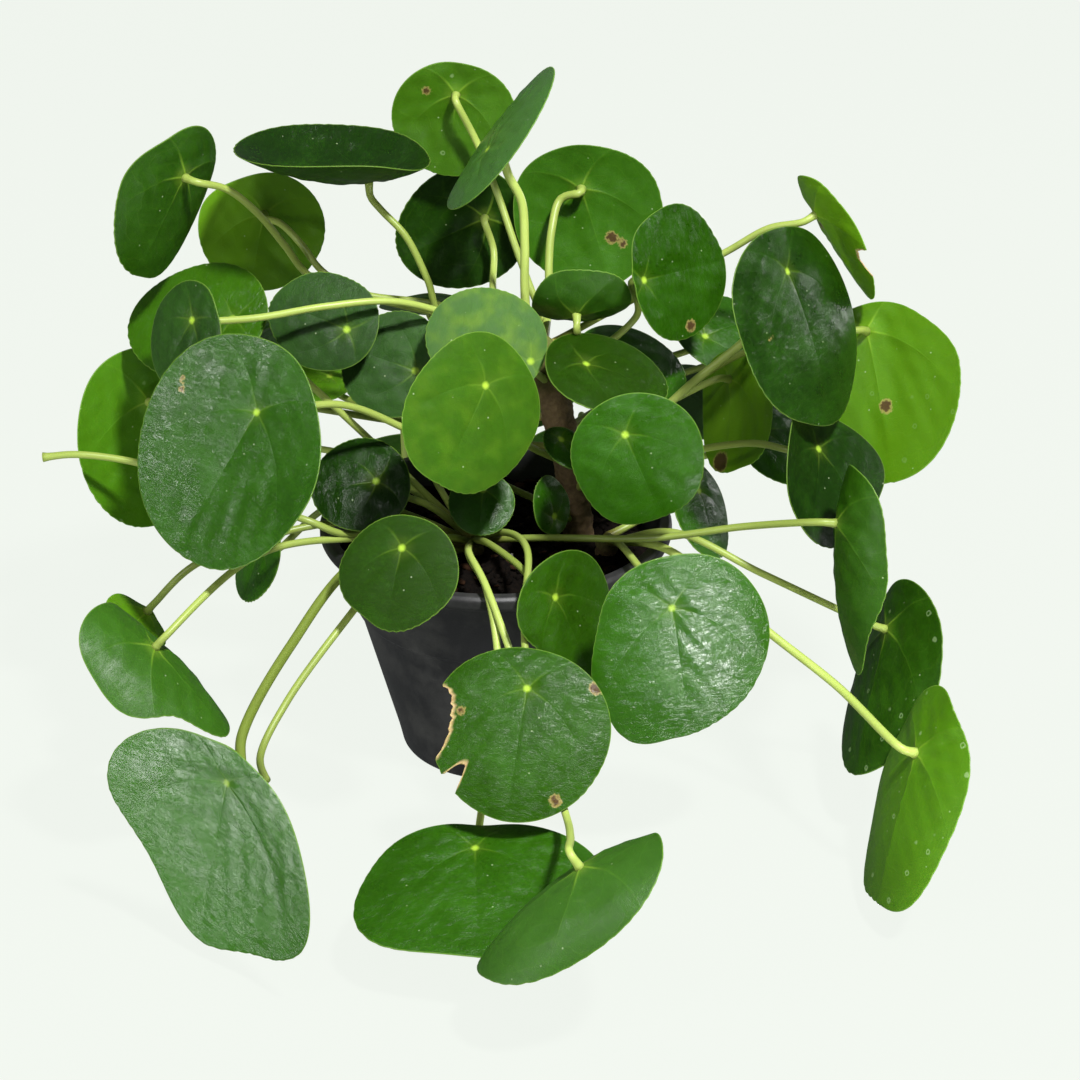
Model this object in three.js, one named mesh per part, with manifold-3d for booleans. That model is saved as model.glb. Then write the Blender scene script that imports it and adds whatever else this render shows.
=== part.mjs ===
// Potted pilea plant in a black nursery pot, in millimetres with +Z up.
// The origin is the middle of the pot's flat foot. The front faces -Y, and +X is to its right.
import * as THREE from 'three'
import { mergeVertices } from 'three/addons/utils/BufferGeometryUtils.js'
import Module from 'manifold-3d'

const wasm = await Module()
wasm.setup()

// Pot: a thin tapered shell with a proud lip, a stacking step, a rounded foot and drain holes
const POT_HEIGHT = 86
const RIM_RADIUS = 60
const LIP_WIDTH = 4
const LIP_DROP = 5
const LIP_ROUND = 1.2
const WALL = 1.4
const STEP_Z = 56
const STEP_RADIUS = 48.5
const STEP_DEPTH = 1.1
const CORNER_Z = 9
const CORNER_RADIUS = 35
const FOOT_RADIUS = 29
const FOOT_ROUND = 1.6
const FLOOR = 2
const DRAIN_COUNT = 8
const DRAIN_RADIUS = 3
const DRAIN_CIRCLE = 22
const POT_SIDES = 32
const DRAIN_SIDES = 8

// Soil: it fills the pot, with a low mound and lumps on top and a plain hole for each stem
const SOIL_Z = 76
const SOIL_CLEARANCE = 0.3
const SOIL_MOUND = 3
const SOIL_LUMP = 0.8
const SOIL_RINGS = [0.96, 0.82, 0.66, 0.5, 0.34, 0.18]
const HOLE_DEPTH = 20.3
const HOLE_CLEARANCE = 0.8
const HOLE_SIDES = 16

// Leaves and petioles: RING_SHARE is where a blade's inner ring lies, and EGG is how much a blade narrows
// towards its tip. NECK is a petiole's last stretch, square to the blade, and PETIOLE_STEP is a facet's length.
const BLADE_THICKNESS = 0.9
const RING_SHARE = 0.55
const EGG = 0.07
const RIM_POINTS = 24
const PETIOLE_RADIUS = 1.35
const PETIOLE_SIDES = 5
const PETIOLE_STEP = 11
const PETIOLE_GAP = 0.3
const NECK = 6
const STEM_STEPS_PER_POINT = 3

// Each stem runs through these points, from its foot in the soil to its growing tip.
const STEMS = {
  main: {
    radius: 5.5,
    sides: 10,
    points: [[28, 1, 56], [28, 1, 80], [26, 0, 100], [21, 0, 124], [17, 1, 144], [15, 2, 152]],
  },
  left: { radius: 5, sides: 10, points: [[-9, -9, 56], [-9, -9, 72], [-8, -10, 84]] },
  right: { radius: 4, sides: 8, points: [[37, -9, 58], [37, -9, 72], [38, -9, 84]] },
}

// The leaves of each stem. A row is: name, navel, [length, width, share of the length behind the navel],
// [heading of the upper face (0 towards the viewer, 90 to the right), its tilt upwards, turn of the tip],
// [curl across, curl along] as the slope reached at the edges in degrees, less than 0 for a cupped blade,
// how far up the stem the petiole grows, and the points that it passes.
const LEAVES = {
  main: [
    ['top_back', [-13, 45, 221], [40, 42, 0.28], [180, 4, 6], [12, 8],
      0.97, [[17, 12, 151], [12, 18, 162], [6, 25, 177], [1, 32, 190], [-6, 39, 206]]],
    ['top_edge', [-2, 5, 215], [56, 56, 0.4], [-89, 37, -161], [12, 8],
      0.99, [[11, 2, 158], [10, 3, 168], [10, 4, 183], [9, 6, 197], [5, 7, 205]]],
    ['upper_left', [-41, 14, 202], [66, 60, 0.32], [-130, 83, 34], [-46, -36],
      0.96, [[-17, 6, 156], [-22, 6, 170], [-29, 9, 184], [-37, 12, 192]]],
    ['left_top', [-101, 10, 204], [53, 44, 0.33], [-126, 6, 34], [-24, -8],
      0.93, [[-16, 14, 154], [-44, 22, 158], [-62, 20, 166], [-70, 18, 178], [-78, 15, 190],
        [-87, 12, 199]]],
    ['left_top_behind', [-79, 45, 179], [42, 43, 0.36], [-172, -5, 13], [10, 8],
      0.88, [[-18, 18, 156], [-46, 20, 160], [-58, 22, 167], [-65, 26, 175], [-72, 32, 180]]],
    ['left_small', [-96, -25, 168], [37, 32, 0.33], [-42, 20, -22], [10, 8],
      0.88, [[-14, 2, 159], [-33, -6, 167], [-54, -13, 168], [-76, -18, 166]]],
    ['left_centre', [-48, -8, 158], [37, 33, 0.27], [0, 34, -113], [10, 12],
      0.84, [[-14, 14, 145], [-38, 15, 150], [-48, 8, 157]]],
    ['left_big', [-74, -50, 147], [74, 68, 0.3], [-28, 24, -20], [-14, -8],
      0.25, [[-8, -4, 106], [-31, -16, 127], [-50, -30, 141]]],
    ['left_far', [-119, 18, 121], [62, 54, 0.31], [-142, -15, 17], [8, 8],
      0.6, [[-20, 10, 116], [-75, 14, 122]]],
    ['centre_left', [-26, -7, 143], [36, 36, 0.27], [-5, 36, -108], [8, 8], 0.7, [[0, 0, 127]]],
    ['pale', [12, -18, 151], [40, 37, 0.1], [8, 36, -120], [14, 14], 0.7, []],
    ['centre_front', [-2, -45, 154], [53, 49, 0.31], [32, 18, -38], [10, 8],
      0.45, [[10, -18, 122], [4, -32, 138]]],
    ['back_left', [-4, 55, 174], [47, 42, 0.31], [180, -5, 65], [8, 8],
      0.95, [[2, 20, 150], [-1, 35, 155], [-1, 48, 165]]],
    ['back_right', [29, 45, 188], [51, 51, 0.31], [176, -5, -18], [10, 8],
      0.9, [[18, 20, 157], [18, 27, 168], [19, 33, 178], [22, 40, 186]]],
    ['right_upper', [49, -5, 174], [40, 45, 0.13], [45, 20, 86], [8, -10],
      0.85, [[28, 6, 142], [47, 15, 153]]],
    ['cup', [27, -3, 162], [34, 35, 0.44], [180, 38, -90], [-50, -36], 0.78, [[22, 1, 142], [27, 0, 151]]],
    ['olive', [30, -22, 152], [42, 40, 0.33], [44, 70, 36], [10, 10], 0.7, [[28, -8, 140]]],
    ['olive_back', [38, 12, 140], [40, 36, 0.3], [28, 62, 48], [8, 8], 0.65, []],
    ['right_front', [42, -45, 137], [44, 44, 0.28], [0, 14, 24], [8, 14], 0.35, [[34, -20, 116]]],
    ['right_big', [94, -18, 182], [66, 66, 0.23], [55, 26, 2], [14, 10],
      0.5, [[46, -4, 120], [66, -4, 138], [86, -9, 160]]],
    ['right_top', [107, 20, 188], [48, 34, 0.29], [111, 23, -25], [-30, -8],
      0.88, [[42, 18, 156], [77, 26, 172], [91, 22, 182]]],
    ['right_far', [125, 15, 148], [62, 62, 0.15], [147, -24, -27], [10, 10],
      0.5, [[46, -3, 118], [64, -2, 135], [84, 7, 144]]],
    ['right_hanging', [80, 14, 131], [42, 38, 0.24], [124, -16, -22], [14, 8], 0.5, [[45, 12, 116]]],
    ['right_mid', [106, -25, 123], [48, 50, 0.29], [56, 29, -46], [-30, -8],
      0.3, [[52, -2, 107], [85, -14, 120]]],
    ['inner_oval', [20, -22, 97], [20, 17, 0.3], [49, 18, 180], [8, 8], 0.25, []],
    ['inner_small', [22, -17, 123], [18, 15, 0.3], [44, 60, -12], [8, 8], 0.45, []],
    ['back_bright', [-60, 60, 113], [36, 33, 0.3], [0, 75, -106], [8, 8], 0.5, [[-10, 22, 106]]],
    ['back_grey', [64, 48, 112], [36, 33, 0.3], [0, 65, 52], [8, 8], 0.5, [[40, 22, 106]]],
    ['back_right_dark', [72, 36, 138], [36, 33, 0.3], [32, 55, 96], [8, 8], 0.75, [[40, 20, 132]]],
    ['back_right_low', [93, 25, 107], [36, 32, 0.3], [39, 58, 18], [8, 8], 0.4, [[55, 16, 98]]],
    ['back_top', [-24, 65, 140], [40, 37, 0.3], [180, 60, 0], [8, 8], 0.85, [[0, 30, 138]]],
    ['back_left_far', [-78, 70, 130], [46, 42, 0.3], [-140, 45, 0], [10, 8], 0.7, [[-20, 34, 124]]],
    ['back_low_right', [30, 105, 58], [64, 58, 0.27], [165, 20, 0], [10, 8],
      0.25, [[30, 30, 98], [30, 68, 94]]],
    ['back_mid', [2, 95, 104], [60, 55, 0.27], [180, 32, 0], [10, 8], 0.6, [[12, 45, 118]]],
    ['back_side_right', [88, 68, 122], [56, 50, 0.27], [135, 25, 0], [10, 8], 0.55, [[45, 32, 118]]],
  ],
  left: [
    ['left_dark', [-87, 7, 156], [50, 44, 0.24], [-19, 48, -82], [10, 10],
      0.97, [[-22, -6, 96], [-42, -6, 118], [-68, -3, 143]]],
    ['right_narrow', [109, -64, 115], [69, 46, 0.27], [97, -8, -16], [-64, -28],
      0.9, [[12, -26, 91], [52, -40, 98], [80, -50, 107]]],
    ['front_dark', [20, -70, 92], [50, 40, 0.25], [45, 20, 14], [8, 8], 0.9, [[-2, -34, 93], [10, -54, 93]]],
    ['front_eaten', [11, -100, 76], [55, 56, 0.24], [0, 45, -9], [10, 12],
      0.9, [[4, -28, 94], [11, -50, 98], [10, -71, 87]]],
    ['bottom_left', [-5, -125, 34], [58, 78, 0.2], [-20, 80, 22], [10, 10],
      0.9, [[-8, -40, 91], [-2, -60, 89], [2, -80, 68], [-4, -110, 32]]],
    ['bottom_right', [27, -172, 57], [72, 46, 0.38], [76, -56, -16], [-60, -26],
      0.9, [[-8, -40, 92], [-2, -60, 90], [22, -118, 45], [24, -150, 54]]],
    ['front_left', [-28, -75, 112], [37, 39, 0.29], [-15, 40, -2], [8, 8], 0.9, [[-16, -40, 98]]],
    ['low_left', [-78, -141, 67], [76, 80, 0.18], [-37, -2, -14], [-14, -8],
      0.9, [[-43, -48, 94], [-63, -86, 83], [-75, -122, 72]]],
    ['low_left_fold', [-107, -79, 78], [58, 50, 0.38], [-94, -50, 15], [-60, -12],
      0.85, [[-44, -28, 92], [-76, -48, 96]]],
    ['low_left_small', [-116, -36, 68], [24, 24, 0.12], [-101, -50, 96], [8, 8],
      0.9, [[-50, -20, 94], [-97, -36, 87]]],
    ['inner_left', [-39, -22, 110], [33, 33, 0.34], [0, 46, -79], [8, 8], 0.95, [[-22, -12, 96]]],
    ['inner_centre', [-4, -18, 105], [22, 22, 0.27], [0, 46, -4], [8, 8], 0.99, []],
    ['left_low', [-80, -6, 78], [28, 27, 0.3], [-60, 30, 10], [8, 8], 0.9, [[-36, -6, 92], [-56, -4, 92]]],
    ['back_low_left', [-38, 98, 62], [60, 54, 0.27], [-160, 22, 0], [10, 8],
      0.9, [[-22, 20, 92], [-34, 68, 94]]],
    ['back_side_left', [-98, 58, 92], [52, 47, 0.27], [-120, 20, 0], [10, 8], 0.95, [[-45, 20, 98]]],
  ],
  right: [
    ['right_low', [130, -42, 65], [67, 56, 0.27], [102, -25, -27], [-30, -6],
      0.85, [[60, -24, 92], [88, -36, 83]]],
    ['right_lowest', [133, -101, 53], [72, 50, 0.32], [104, -26, -20], [-26, -10],
      0.9, [[58, -38, 92], [89, -56, 72], [110, -74, 62]]],
    ['front_right', [56, -85, 96], [64, 60, 0.27], [11, 7, 8], [14, 8],
      0.95, [[42, -30, 90], [48, -52, 92]]],
    ['right_behind', [69, -2, 97], [34, 30, 0.3], [61, 31, -21], [10, 8], 0.95, []],
  ],
}

// Petioles that have lost their blades: stem, height on it, and the points up to the blunt end.
const BARE_PETIOLES = [
  ['left', 0.9, [[-30, -20, 94], [-49, -31, 95], [-60, -36, 102], [-91, -22, 107],
    [-119, -12, 112], [-139, -12, 115], [-150, -12, 114]]],
  ['left', 0.8, [[-34, -50, 92], [-45, -70, 86], [-64, -92, 67], [-72, -104, 54], [-71, -102, 44]]],
]

// Rims that are fuller or flatter than an ellipse: middle and half width of a bulge or hollow in degrees from the
// tip, and how much the rim moves there as a share of its distance from the navel.
const SHAPES = {
  left_top: [[135, 50, -0.2], [-45, 40, 0.08]],
  left_top_behind: [[145, 45, -0.12]],
  left_small: [[150, 45, -0.08]],
  left_big: [[140, 50, -0.14], [50, 45, 0.04], [-140, 45, 0.04]],
  centre_front: [[150, 50, -0.1], [-115, 60, -0.13], [0, 40, -0.05]],
  back_right: [[-140, 45, -0.1], [140, 40, 0.05]],
  right_upper: [[115, 50, -0.12], [60, 40, 0.05]],
  right_front: [[-100, 60, -0.09], [0, 50, -0.03]],
  right_big: [[-140, 45, 0.08], [165, 35, -0.1], [5, 35, 0.03]],
  right_far: [[-135, 40, -0.14]],
  right_hanging: [[90, 75, -0.3], [-90, 75, 0.3]],
  right_mid: [[130, 50, 0.22], [-150, 40, -0.1], [-70, 50, 0.12]],
  right_narrow: [[50, 50, -0.15], [-50, 50, -0.15], [140, 35, 0.08], [-140, 35, 0.08]],
  front_dark: [[-80, 60, -0.25], [120, 60, 0.2]],
  bottom_left: [[-115, 45, -0.1], [-20, 45, -0.08]],
  bottom_right: [[-95, 75, 0.18], [165, 50, -0.12]],
  front_left: [[-130, 50, -0.14], [-30, 30, -0.03]],
  low_left: [[-45, 50, -0.14], [-110, 45, 0.05], [85, 45, 0.1], [30, 30, -0.05]],
  low_left_fold: [[45, 50, -0.25], [150, 40, 0.1]],
  right_low: [[-70, 45, 0.08], [150, 45, -0.16]],
  right_lowest: [[-150, 50, -0.12], [-35, 40, 0.06], [50, 40, 0.1]],
  front_right: [[-115, 50, -0.15], [-38, 30, 0.1], [15, 40, -0.05], [90, 40, 0.03]],
}

// Bites along the rims of two leaves: middle and half width in degrees from the tip, and depth as a share.
const BITES = { front_eaten: [[-90, 24, 0.22], [-47, 6.5, 0.2]], right_top: [[-60, 12, 0.2]] }

const rad = THREE.MathUtils.degToRad
const vector = (p) => new THREE.Vector3(...p)

// A closed mesh with its shared vertices merged and its zero-area triangles left out.
function weld(geometry) {
  const bare = geometry.index ? geometry.toNonIndexed() : geometry
  bare.deleteAttribute('normal')
  bare.deleteAttribute('uv')
  const merged = mergeVertices(bare, 1e-3)
  const source = merged.index.array
  const kept = []
  for (let i = 0; i < source.length; i += 3) {
    const [a, b, c] = [source[i], source[i + 1], source[i + 2]]
    if (a !== b && b !== c && a !== c) kept.push(a, b, c)
  }
  merged.setIndex(kept)
  return merged
}

// A closed geometry as a solid that can be joined and cut, and back.
function toSolid(geometry) {
  const welded = weld(geometry)
  const mesh = new wasm.Mesh({
    numProp: 3,
    vertProperties: new Float32Array(welded.attributes.position.array),
    triVerts: new Uint32Array(welded.index.array),
  })
  return new wasm.Manifold(mesh)
}

function toGeometry(solid) {
  const mesh = solid.getMesh()
  const geometry = new THREE.BufferGeometry()
  geometry.setAttribute('position', new THREE.BufferAttribute(new Float32Array(mesh.vertProperties), 3))
  geometry.setIndex(new THREE.BufferAttribute(new Uint32Array(mesh.triVerts), 1))
  return geometry
}

// A surface of revolution about Z from [radius, height] pairs that run round the section, outside upwards.
function turned(profile, sides) {
  const geometry = new THREE.LatheGeometry(profile.map(([r, z]) => new THREE.Vector2(r, z)), sides)
  geometry.rotateX(Math.PI / 2)
  return geometry
}

// A round rod along a smooth curve.
function rod(curve, radius, sides, steps) {
  const section = new THREE.Shape()
  for (let i = 0; i < sides; i += 1) {
    const angle = (2 * Math.PI * i) / sides
    const method = i ? 'lineTo' : 'moveTo'
    section[method](radius * Math.cos(angle), radius * Math.sin(angle))
  }
  return new THREE.ExtrudeGeometry(section, { steps, bevelEnabled: false, extrudePath: curve })
}

// Where a leaf stands: x along the midrib to the tip, y across, z out of the upper face.
function leafMatrix(at, heading, tilt, turn) {
  const a = rad(heading)
  const e = rad(tilt)
  const t = rad(turn)
  const normal = new THREE.Vector3(Math.sin(a) * Math.cos(e), -Math.cos(a) * Math.cos(e), Math.sin(e))
  const fall = new THREE.Vector3(Math.sin(a) * Math.sin(e), -Math.cos(a) * Math.sin(e), -Math.cos(e))
  const side = new THREE.Vector3().crossVectors(normal, fall)
  const tip = fall.clone().multiplyScalar(Math.cos(t)).addScaledVector(side, Math.sin(t))
  const across = new THREE.Vector3().crossVectors(normal, tip)
  return new THREE.Matrix4().makeBasis(tip, across, normal).setPosition(...at)
}

// How far in degrees an angle in radians lies from a middle in degrees, at most 180.
function turnFrom(angle, middle) {
  const turn = THREE.MathUtils.radToDeg(angle) - middle
  return Math.abs(THREE.MathUtils.euclideanModulo(turn + 180, 360) - 180)
}

// The rim's distance from the navel changes by smooth cosine bumps, and is cut back over each bite, with a
// rounded bottom.
function rimFactor(shapes, bites, angle) {
  let factor = 1
  for (const [middle, half, change] of shapes) {
    const off = Math.min(1, turnFrom(angle, middle) / half)
    factor += change * (0.5 + 0.5 * Math.cos(Math.PI * off))
  }
  for (const [middle, half, depth] of bites) {
    const off = turnFrom(angle, middle) / half
    if (off < 1) factor = Math.min(factor, 1 - depth * Math.sqrt(1 - off ** 2))
  }
  return factor
}

// A blade point from its place on the flat leaf: the blade curls as an arc along and across the midrib,
// and the point lies off its middle surface by the given distance.
function bladePoint(x, y, alongRate, acrossRate, offset) {
  const along = x * alongRate
  const across = y * acrossRate
  const arcX = alongRate ? Math.sin(along) / alongRate : x
  const arcY = acrossRate ? Math.sin(across) / acrossRate : y
  const fallX = alongRate ? (1 - Math.cos(along)) / alongRate : 0
  const fallY = acrossRate ? (1 - Math.cos(across)) / acrossRate : 0
  const normal = new THREE.Vector3(Math.tan(along), Math.tan(across), 1).normalize()
  return new THREE.Vector3(arcX, arcY, -fallX - fallY).addScaledVector(normal, offset)
}

// A thin plate of even thickness: the navel, a ring half way out and the rim, alike on both faces.
function bladeGeometry(name, [length, width, behind], [across, along]) {
  const bites = BITES[name] ?? []
  const shapes = SHAPES[name] ?? []
  const rimPoints = bites.length ? 2 * RIM_POINTS : RIM_POINTS
  const ringPoints = rimPoints / 2
  const alongRate = rad(along) / (length * (1 - behind))
  const acrossRate = rad(across) / (width / 2)
  const outline = (angle) => {
    const factor = rimFactor(shapes, bites, angle)
    const x = length * (0.5 - behind + 0.5 * Math.cos(angle))
    const y = (width / 2) * Math.sin(angle) * (1 - EGG * Math.cos(angle))
    return [x * factor, y * factor]
  }
  const upper = [[0, 0]]
  for (let i = 0; i < ringPoints; i += 1) {
    const [x, y] = outline((2 * Math.PI * i) / ringPoints)
    upper.push([x * RING_SHARE, y * RING_SHARE])
  }
  for (let i = 0; i < rimPoints; i += 1) upper.push(outline((2 * Math.PI * i) / rimPoints))
  const count = upper.length
  const positions = []
  for (const offset of [BLADE_THICKNESS / 2, -BLADE_THICKNESS / 2]) {
    for (const [x, y] of upper) positions.push(...bladePoint(x, y, alongRate, acrossRate, offset).toArray())
  }
  const face = []
  for (let i = 0; i < ringPoints; i += 1) {
    const ring = 1 + i
    const nextRing = 1 + ((i + 1) % ringPoints)
    const rim = 1 + ringPoints + 2 * i
    const midRim = rim + 1
    const nextRim = 1 + ringPoints + ((2 * i + 2) % rimPoints)
    face.push([0, ring, nextRing], [ring, rim, midRim], [ring, midRim, nextRing], [nextRing, midRim, nextRim])
  }
  const index = []
  for (const [a, b, c] of face) index.push(a, b, c, a + count, c + count, b + count)
  for (let i = 0; i < rimPoints; i += 1) {
    const a = 1 + ringPoints + i
    const b = 1 + ringPoints + ((i + 1) % rimPoints)
    index.push(a, a + count, b + count, a, b + count, b)
  }
  const geometry = new THREE.BufferGeometry()
  geometry.setAttribute('position', new THREE.Float32BufferAttribute(positions, 3))
  geometry.setIndex(index)
  return geometry
}

// A petiole leaves its stem, passes its way points and meets the blade square to its underside.
function petiolePoints(start, way, matrix) {
  const under = (distance) => new THREE.Vector3(0, 0, -distance).applyMatrix4(matrix)
  return [start, ...way.map(vector), under(NECK), under(NECK / 3), under(BLADE_THICKNESS / 2 + PETIOLE_GAP)]
}

// A slim smooth rod in steps of even length.
function petioleSolid(points) {
  const curve = new THREE.CatmullRomCurve3(points, false, 'centripetal')
  const steps = Math.ceil(curve.getLength() / PETIOLE_STEP)
  return toSolid(rod(curve, PETIOLE_RADIUS, PETIOLE_SIDES, steps))
}

// The pot's section turned about Z, with a ring of drain holes through its floor.
function potGeometry() {
  const outside = [
    [FOOT_RADIUS, 0],
    [CORNER_RADIUS - FOOT_ROUND, FOOT_ROUND],
    [CORNER_RADIUS, CORNER_Z],
    [STEP_RADIUS - STEP_DEPTH, STEP_Z - 1],
    [STEP_RADIUS, STEP_Z],
    [RIM_RADIUS - LIP_WIDTH, POT_HEIGHT - LIP_DROP],
    [RIM_RADIUS - LIP_ROUND / 2, POT_HEIGHT - LIP_DROP],
    [RIM_RADIUS, POT_HEIGHT - LIP_DROP + LIP_ROUND],
    [RIM_RADIUS, POT_HEIGHT - LIP_ROUND],
    [RIM_RADIUS - LIP_ROUND, POT_HEIGHT],
  ]
  const inside = [
    [RIM_RADIUS - LIP_WIDTH, POT_HEIGHT],
    [RIM_RADIUS - LIP_WIDTH - WALL / 2, POT_HEIGHT - LIP_ROUND],
    [RIM_RADIUS - LIP_WIDTH - WALL, POT_HEIGHT - LIP_DROP],
    [STEP_RADIUS - WALL, STEP_Z],
    [STEP_RADIUS - STEP_DEPTH - WALL, STEP_Z - 1],
    [CORNER_RADIUS - WALL, CORNER_Z],
    [FOOT_RADIUS, FLOOR],
  ]
  let pot = toSolid(turned([[0, 0], ...outside, ...inside, [0, FLOOR]], POT_SIDES))
  for (let i = 0; i < DRAIN_COUNT; i += 1) {
    const angle = (2 * Math.PI * (i + 0.5)) / DRAIN_COUNT
    const drain = new THREE.CylinderGeometry(DRAIN_RADIUS, DRAIN_RADIUS, 4 * FLOOR, DRAIN_SIDES)
    drain.rotateX(Math.PI / 2)
    drain.translate(DRAIN_CIRCLE * Math.cos(angle), DRAIN_CIRCLE * Math.sin(angle), FLOOR / 2)
    pot = pot.subtract(toSolid(drain))
  }
  return toGeometry(pot)
}

// Soil fills the pot to its surface, which is mounded in the middle and lumpy by a sum of sines.
function soilGeometry() {
  const gap = WALL + SOIL_CLEARANCE
  const slope = (RIM_RADIUS - LIP_WIDTH - STEP_RADIUS) / (POT_HEIGHT - LIP_DROP - STEP_Z)
  const edge = STEP_RADIUS + slope * (SOIL_Z - STEP_Z) - gap
  const surface = SOIL_RINGS.map((share) => [edge * share, SOIL_Z + SOIL_MOUND * (1 - share * share)])
  const profile = [
    [0, FLOOR + SOIL_CLEARANCE],
    [FOOT_RADIUS - SOIL_CLEARANCE, FLOOR + SOIL_CLEARANCE],
    [CORNER_RADIUS - gap, CORNER_Z],
    [STEP_RADIUS - STEP_DEPTH - gap, STEP_Z - 1],
    [STEP_RADIUS - gap, STEP_Z + 0.2],
    [edge, SOIL_Z - 0.5],
    ...surface,
    [0, SOIL_Z + SOIL_MOUND],
  ]
  const geometry = turned(profile, POT_SIDES / 2)
  const position = geometry.attributes.position
  for (let i = 0; i < position.count; i += 1) {
    const x = position.getX(i)
    const y = position.getY(i)
    const z = position.getZ(i)
    if (z > SOIL_Z) position.setZ(i, z + SOIL_LUMP * (Math.sin(0.45 * x + 1) + Math.sin(0.5 * y - 0.3 * x)))
  }
  let soil = toSolid(geometry)
  for (const { radius, points } of Object.values(STEMS)) {
    const [x, y] = points[0]
    const holeRadius = radius + HOLE_CLEARANCE
    const hole = new THREE.CylinderGeometry(holeRadius, holeRadius, 2 * HOLE_DEPTH, HOLE_SIDES)
    hole.rotateX(Math.PI / 2)
    hole.translate(x, y, SOIL_Z)
    soil = soil.subtract(toSolid(hole))
  }
  return toGeometry(soil)
}

const materials = {
  pot: new THREE.MeshStandardMaterial({ color: '#232426', roughness: 0.5, metalness: 0 }),
  soil: new THREE.MeshStandardMaterial({ color: '#1f1712', roughness: 0.95, metalness: 0 }),
  stem: new THREE.MeshStandardMaterial({ color: '#a3ad45', roughness: 0.5, metalness: 0 }),
  blade: new THREE.MeshStandardMaterial({ color: '#3a7a26', roughness: 0.35, metalness: 0 }),
}

const group = new THREE.Group()

function addPart(name, geometry, material) {
  const mesh = new THREE.Mesh(geometry, material)
  mesh.name = name
  group.add(mesh)
  return mesh
}

addPart('pot', potGeometry(), materials.pot)
addPart('soil', soilGeometry(), materials.soil)

const stems = {}
for (const [name, { radius, sides, points }] of Object.entries(STEMS)) {
  const curve = new THREE.CatmullRomCurve3(points.map(vector), false, 'centripetal')
  const steps = STEM_STEPS_PER_POINT * points.length
  stems[name] = { curve, solid: toSolid(rod(curve, radius, sides, steps)) }
}

for (const [stemName, leaves] of Object.entries(LEAVES)) {
  const stem = stems[stemName]
  for (const [name, navel, size, facing, curl, height, way] of leaves) {
    const matrix = leafMatrix(navel, ...facing)
    const points = petiolePoints(stem.curve.getPoint(height), way, matrix)
    stem.solid = stem.solid.add(petioleSolid(points))
    const blade = addPart(`leaf_${name}`, bladeGeometry(name, size, curl), materials.blade)
    blade.applyMatrix4(matrix)
  }
}
for (const [stemName, height, way] of BARE_PETIOLES) {
  const stem = stems[stemName]
  stem.solid = stem.solid.add(petioleSolid([stem.curve.getPoint(height), ...way.map(vector)]))
}
for (const [name, { solid }] of Object.entries(stems)) {
  addPart(`stem_${name}`, toGeometry(solid), materials.stem)
}

export default group
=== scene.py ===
"""A potted pilea: round leaves held at their navels on long stalks, three stems, soil and a black nursery pot."""
from functools import cache, partial
from math import pi, radians

import bpy
import numpy as np
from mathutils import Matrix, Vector


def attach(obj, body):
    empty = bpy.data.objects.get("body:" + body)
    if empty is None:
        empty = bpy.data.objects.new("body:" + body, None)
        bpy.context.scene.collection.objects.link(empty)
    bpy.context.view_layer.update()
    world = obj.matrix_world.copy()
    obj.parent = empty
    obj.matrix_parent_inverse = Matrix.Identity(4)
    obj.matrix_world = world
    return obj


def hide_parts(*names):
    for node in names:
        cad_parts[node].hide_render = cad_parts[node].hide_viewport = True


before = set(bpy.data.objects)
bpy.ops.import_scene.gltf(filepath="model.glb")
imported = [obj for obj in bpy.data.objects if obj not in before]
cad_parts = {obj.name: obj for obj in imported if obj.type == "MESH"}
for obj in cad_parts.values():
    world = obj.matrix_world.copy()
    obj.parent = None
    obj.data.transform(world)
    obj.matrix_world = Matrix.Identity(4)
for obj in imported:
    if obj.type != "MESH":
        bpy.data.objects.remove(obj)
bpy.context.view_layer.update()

# Lengths are in millimetres, and go into the meshes in metres.
MM = 0.001

# Camera, at the photograph's angle, and lamps: name, place, point that it faces, width, all in metres, and power
CAMERA_PLACE = (0.0150, -0.8089, 0.4806)
CAMERA_PITCH = 63.5
CAMERA_LENS = 88
LAMPS = [
    ("key", (0.45, -0.75, 1.45), (0, 0, 0.1), 0.16, 42),
    ("front_right_panel", (0.22, -0.31, 0.008), (0.07, -0.09, 0.09), 0.1, 0.75),
    ("upper_front_panel", (-0.13, -0.60, 0.80), (0, -0.1, 0.08), 0.1, 1.2),
    ("left_panel", (-0.70, -0.68, 0.42), (-0.09, -0.05, 0.15), 0.22, 2.6),
    ("low_left_panel", (-0.20, -0.19, 0.004), (-0.09, -0.14, 0.07), 0.06, 0.09),
    ("right_back_panel", (0.75, 0.58, 0.22), (0.1, 0, 0.18), 0.22, 1.6),
]
ROOM_STRENGTH = 0.15
ROOM_COLOUR = "#eef4f2"
FLOOR_COLOUR = "#f1f6ef"
FLOOR_TINT = "#282927"
FLOOR_GLOW = 0.972
FLOOR_HALF = 6.0
FLOOR_DROP = 0.0002

# Stems: radius, and the points that the stem passes
STEMS = {
    "main": (5.5, [[28, 1, 56], [28, 1, 80], [26, 0, 100], [21, 0, 124], [17, 1, 144], [15, 2, 152]]),
    "left": (5, [[-9, -9, 56], [-9, -9, 72], [-8, -10, 84]]),
    "right": (4, [[37, -9, 58], [37, -9, 72], [38, -9, 84]]),
}

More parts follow.
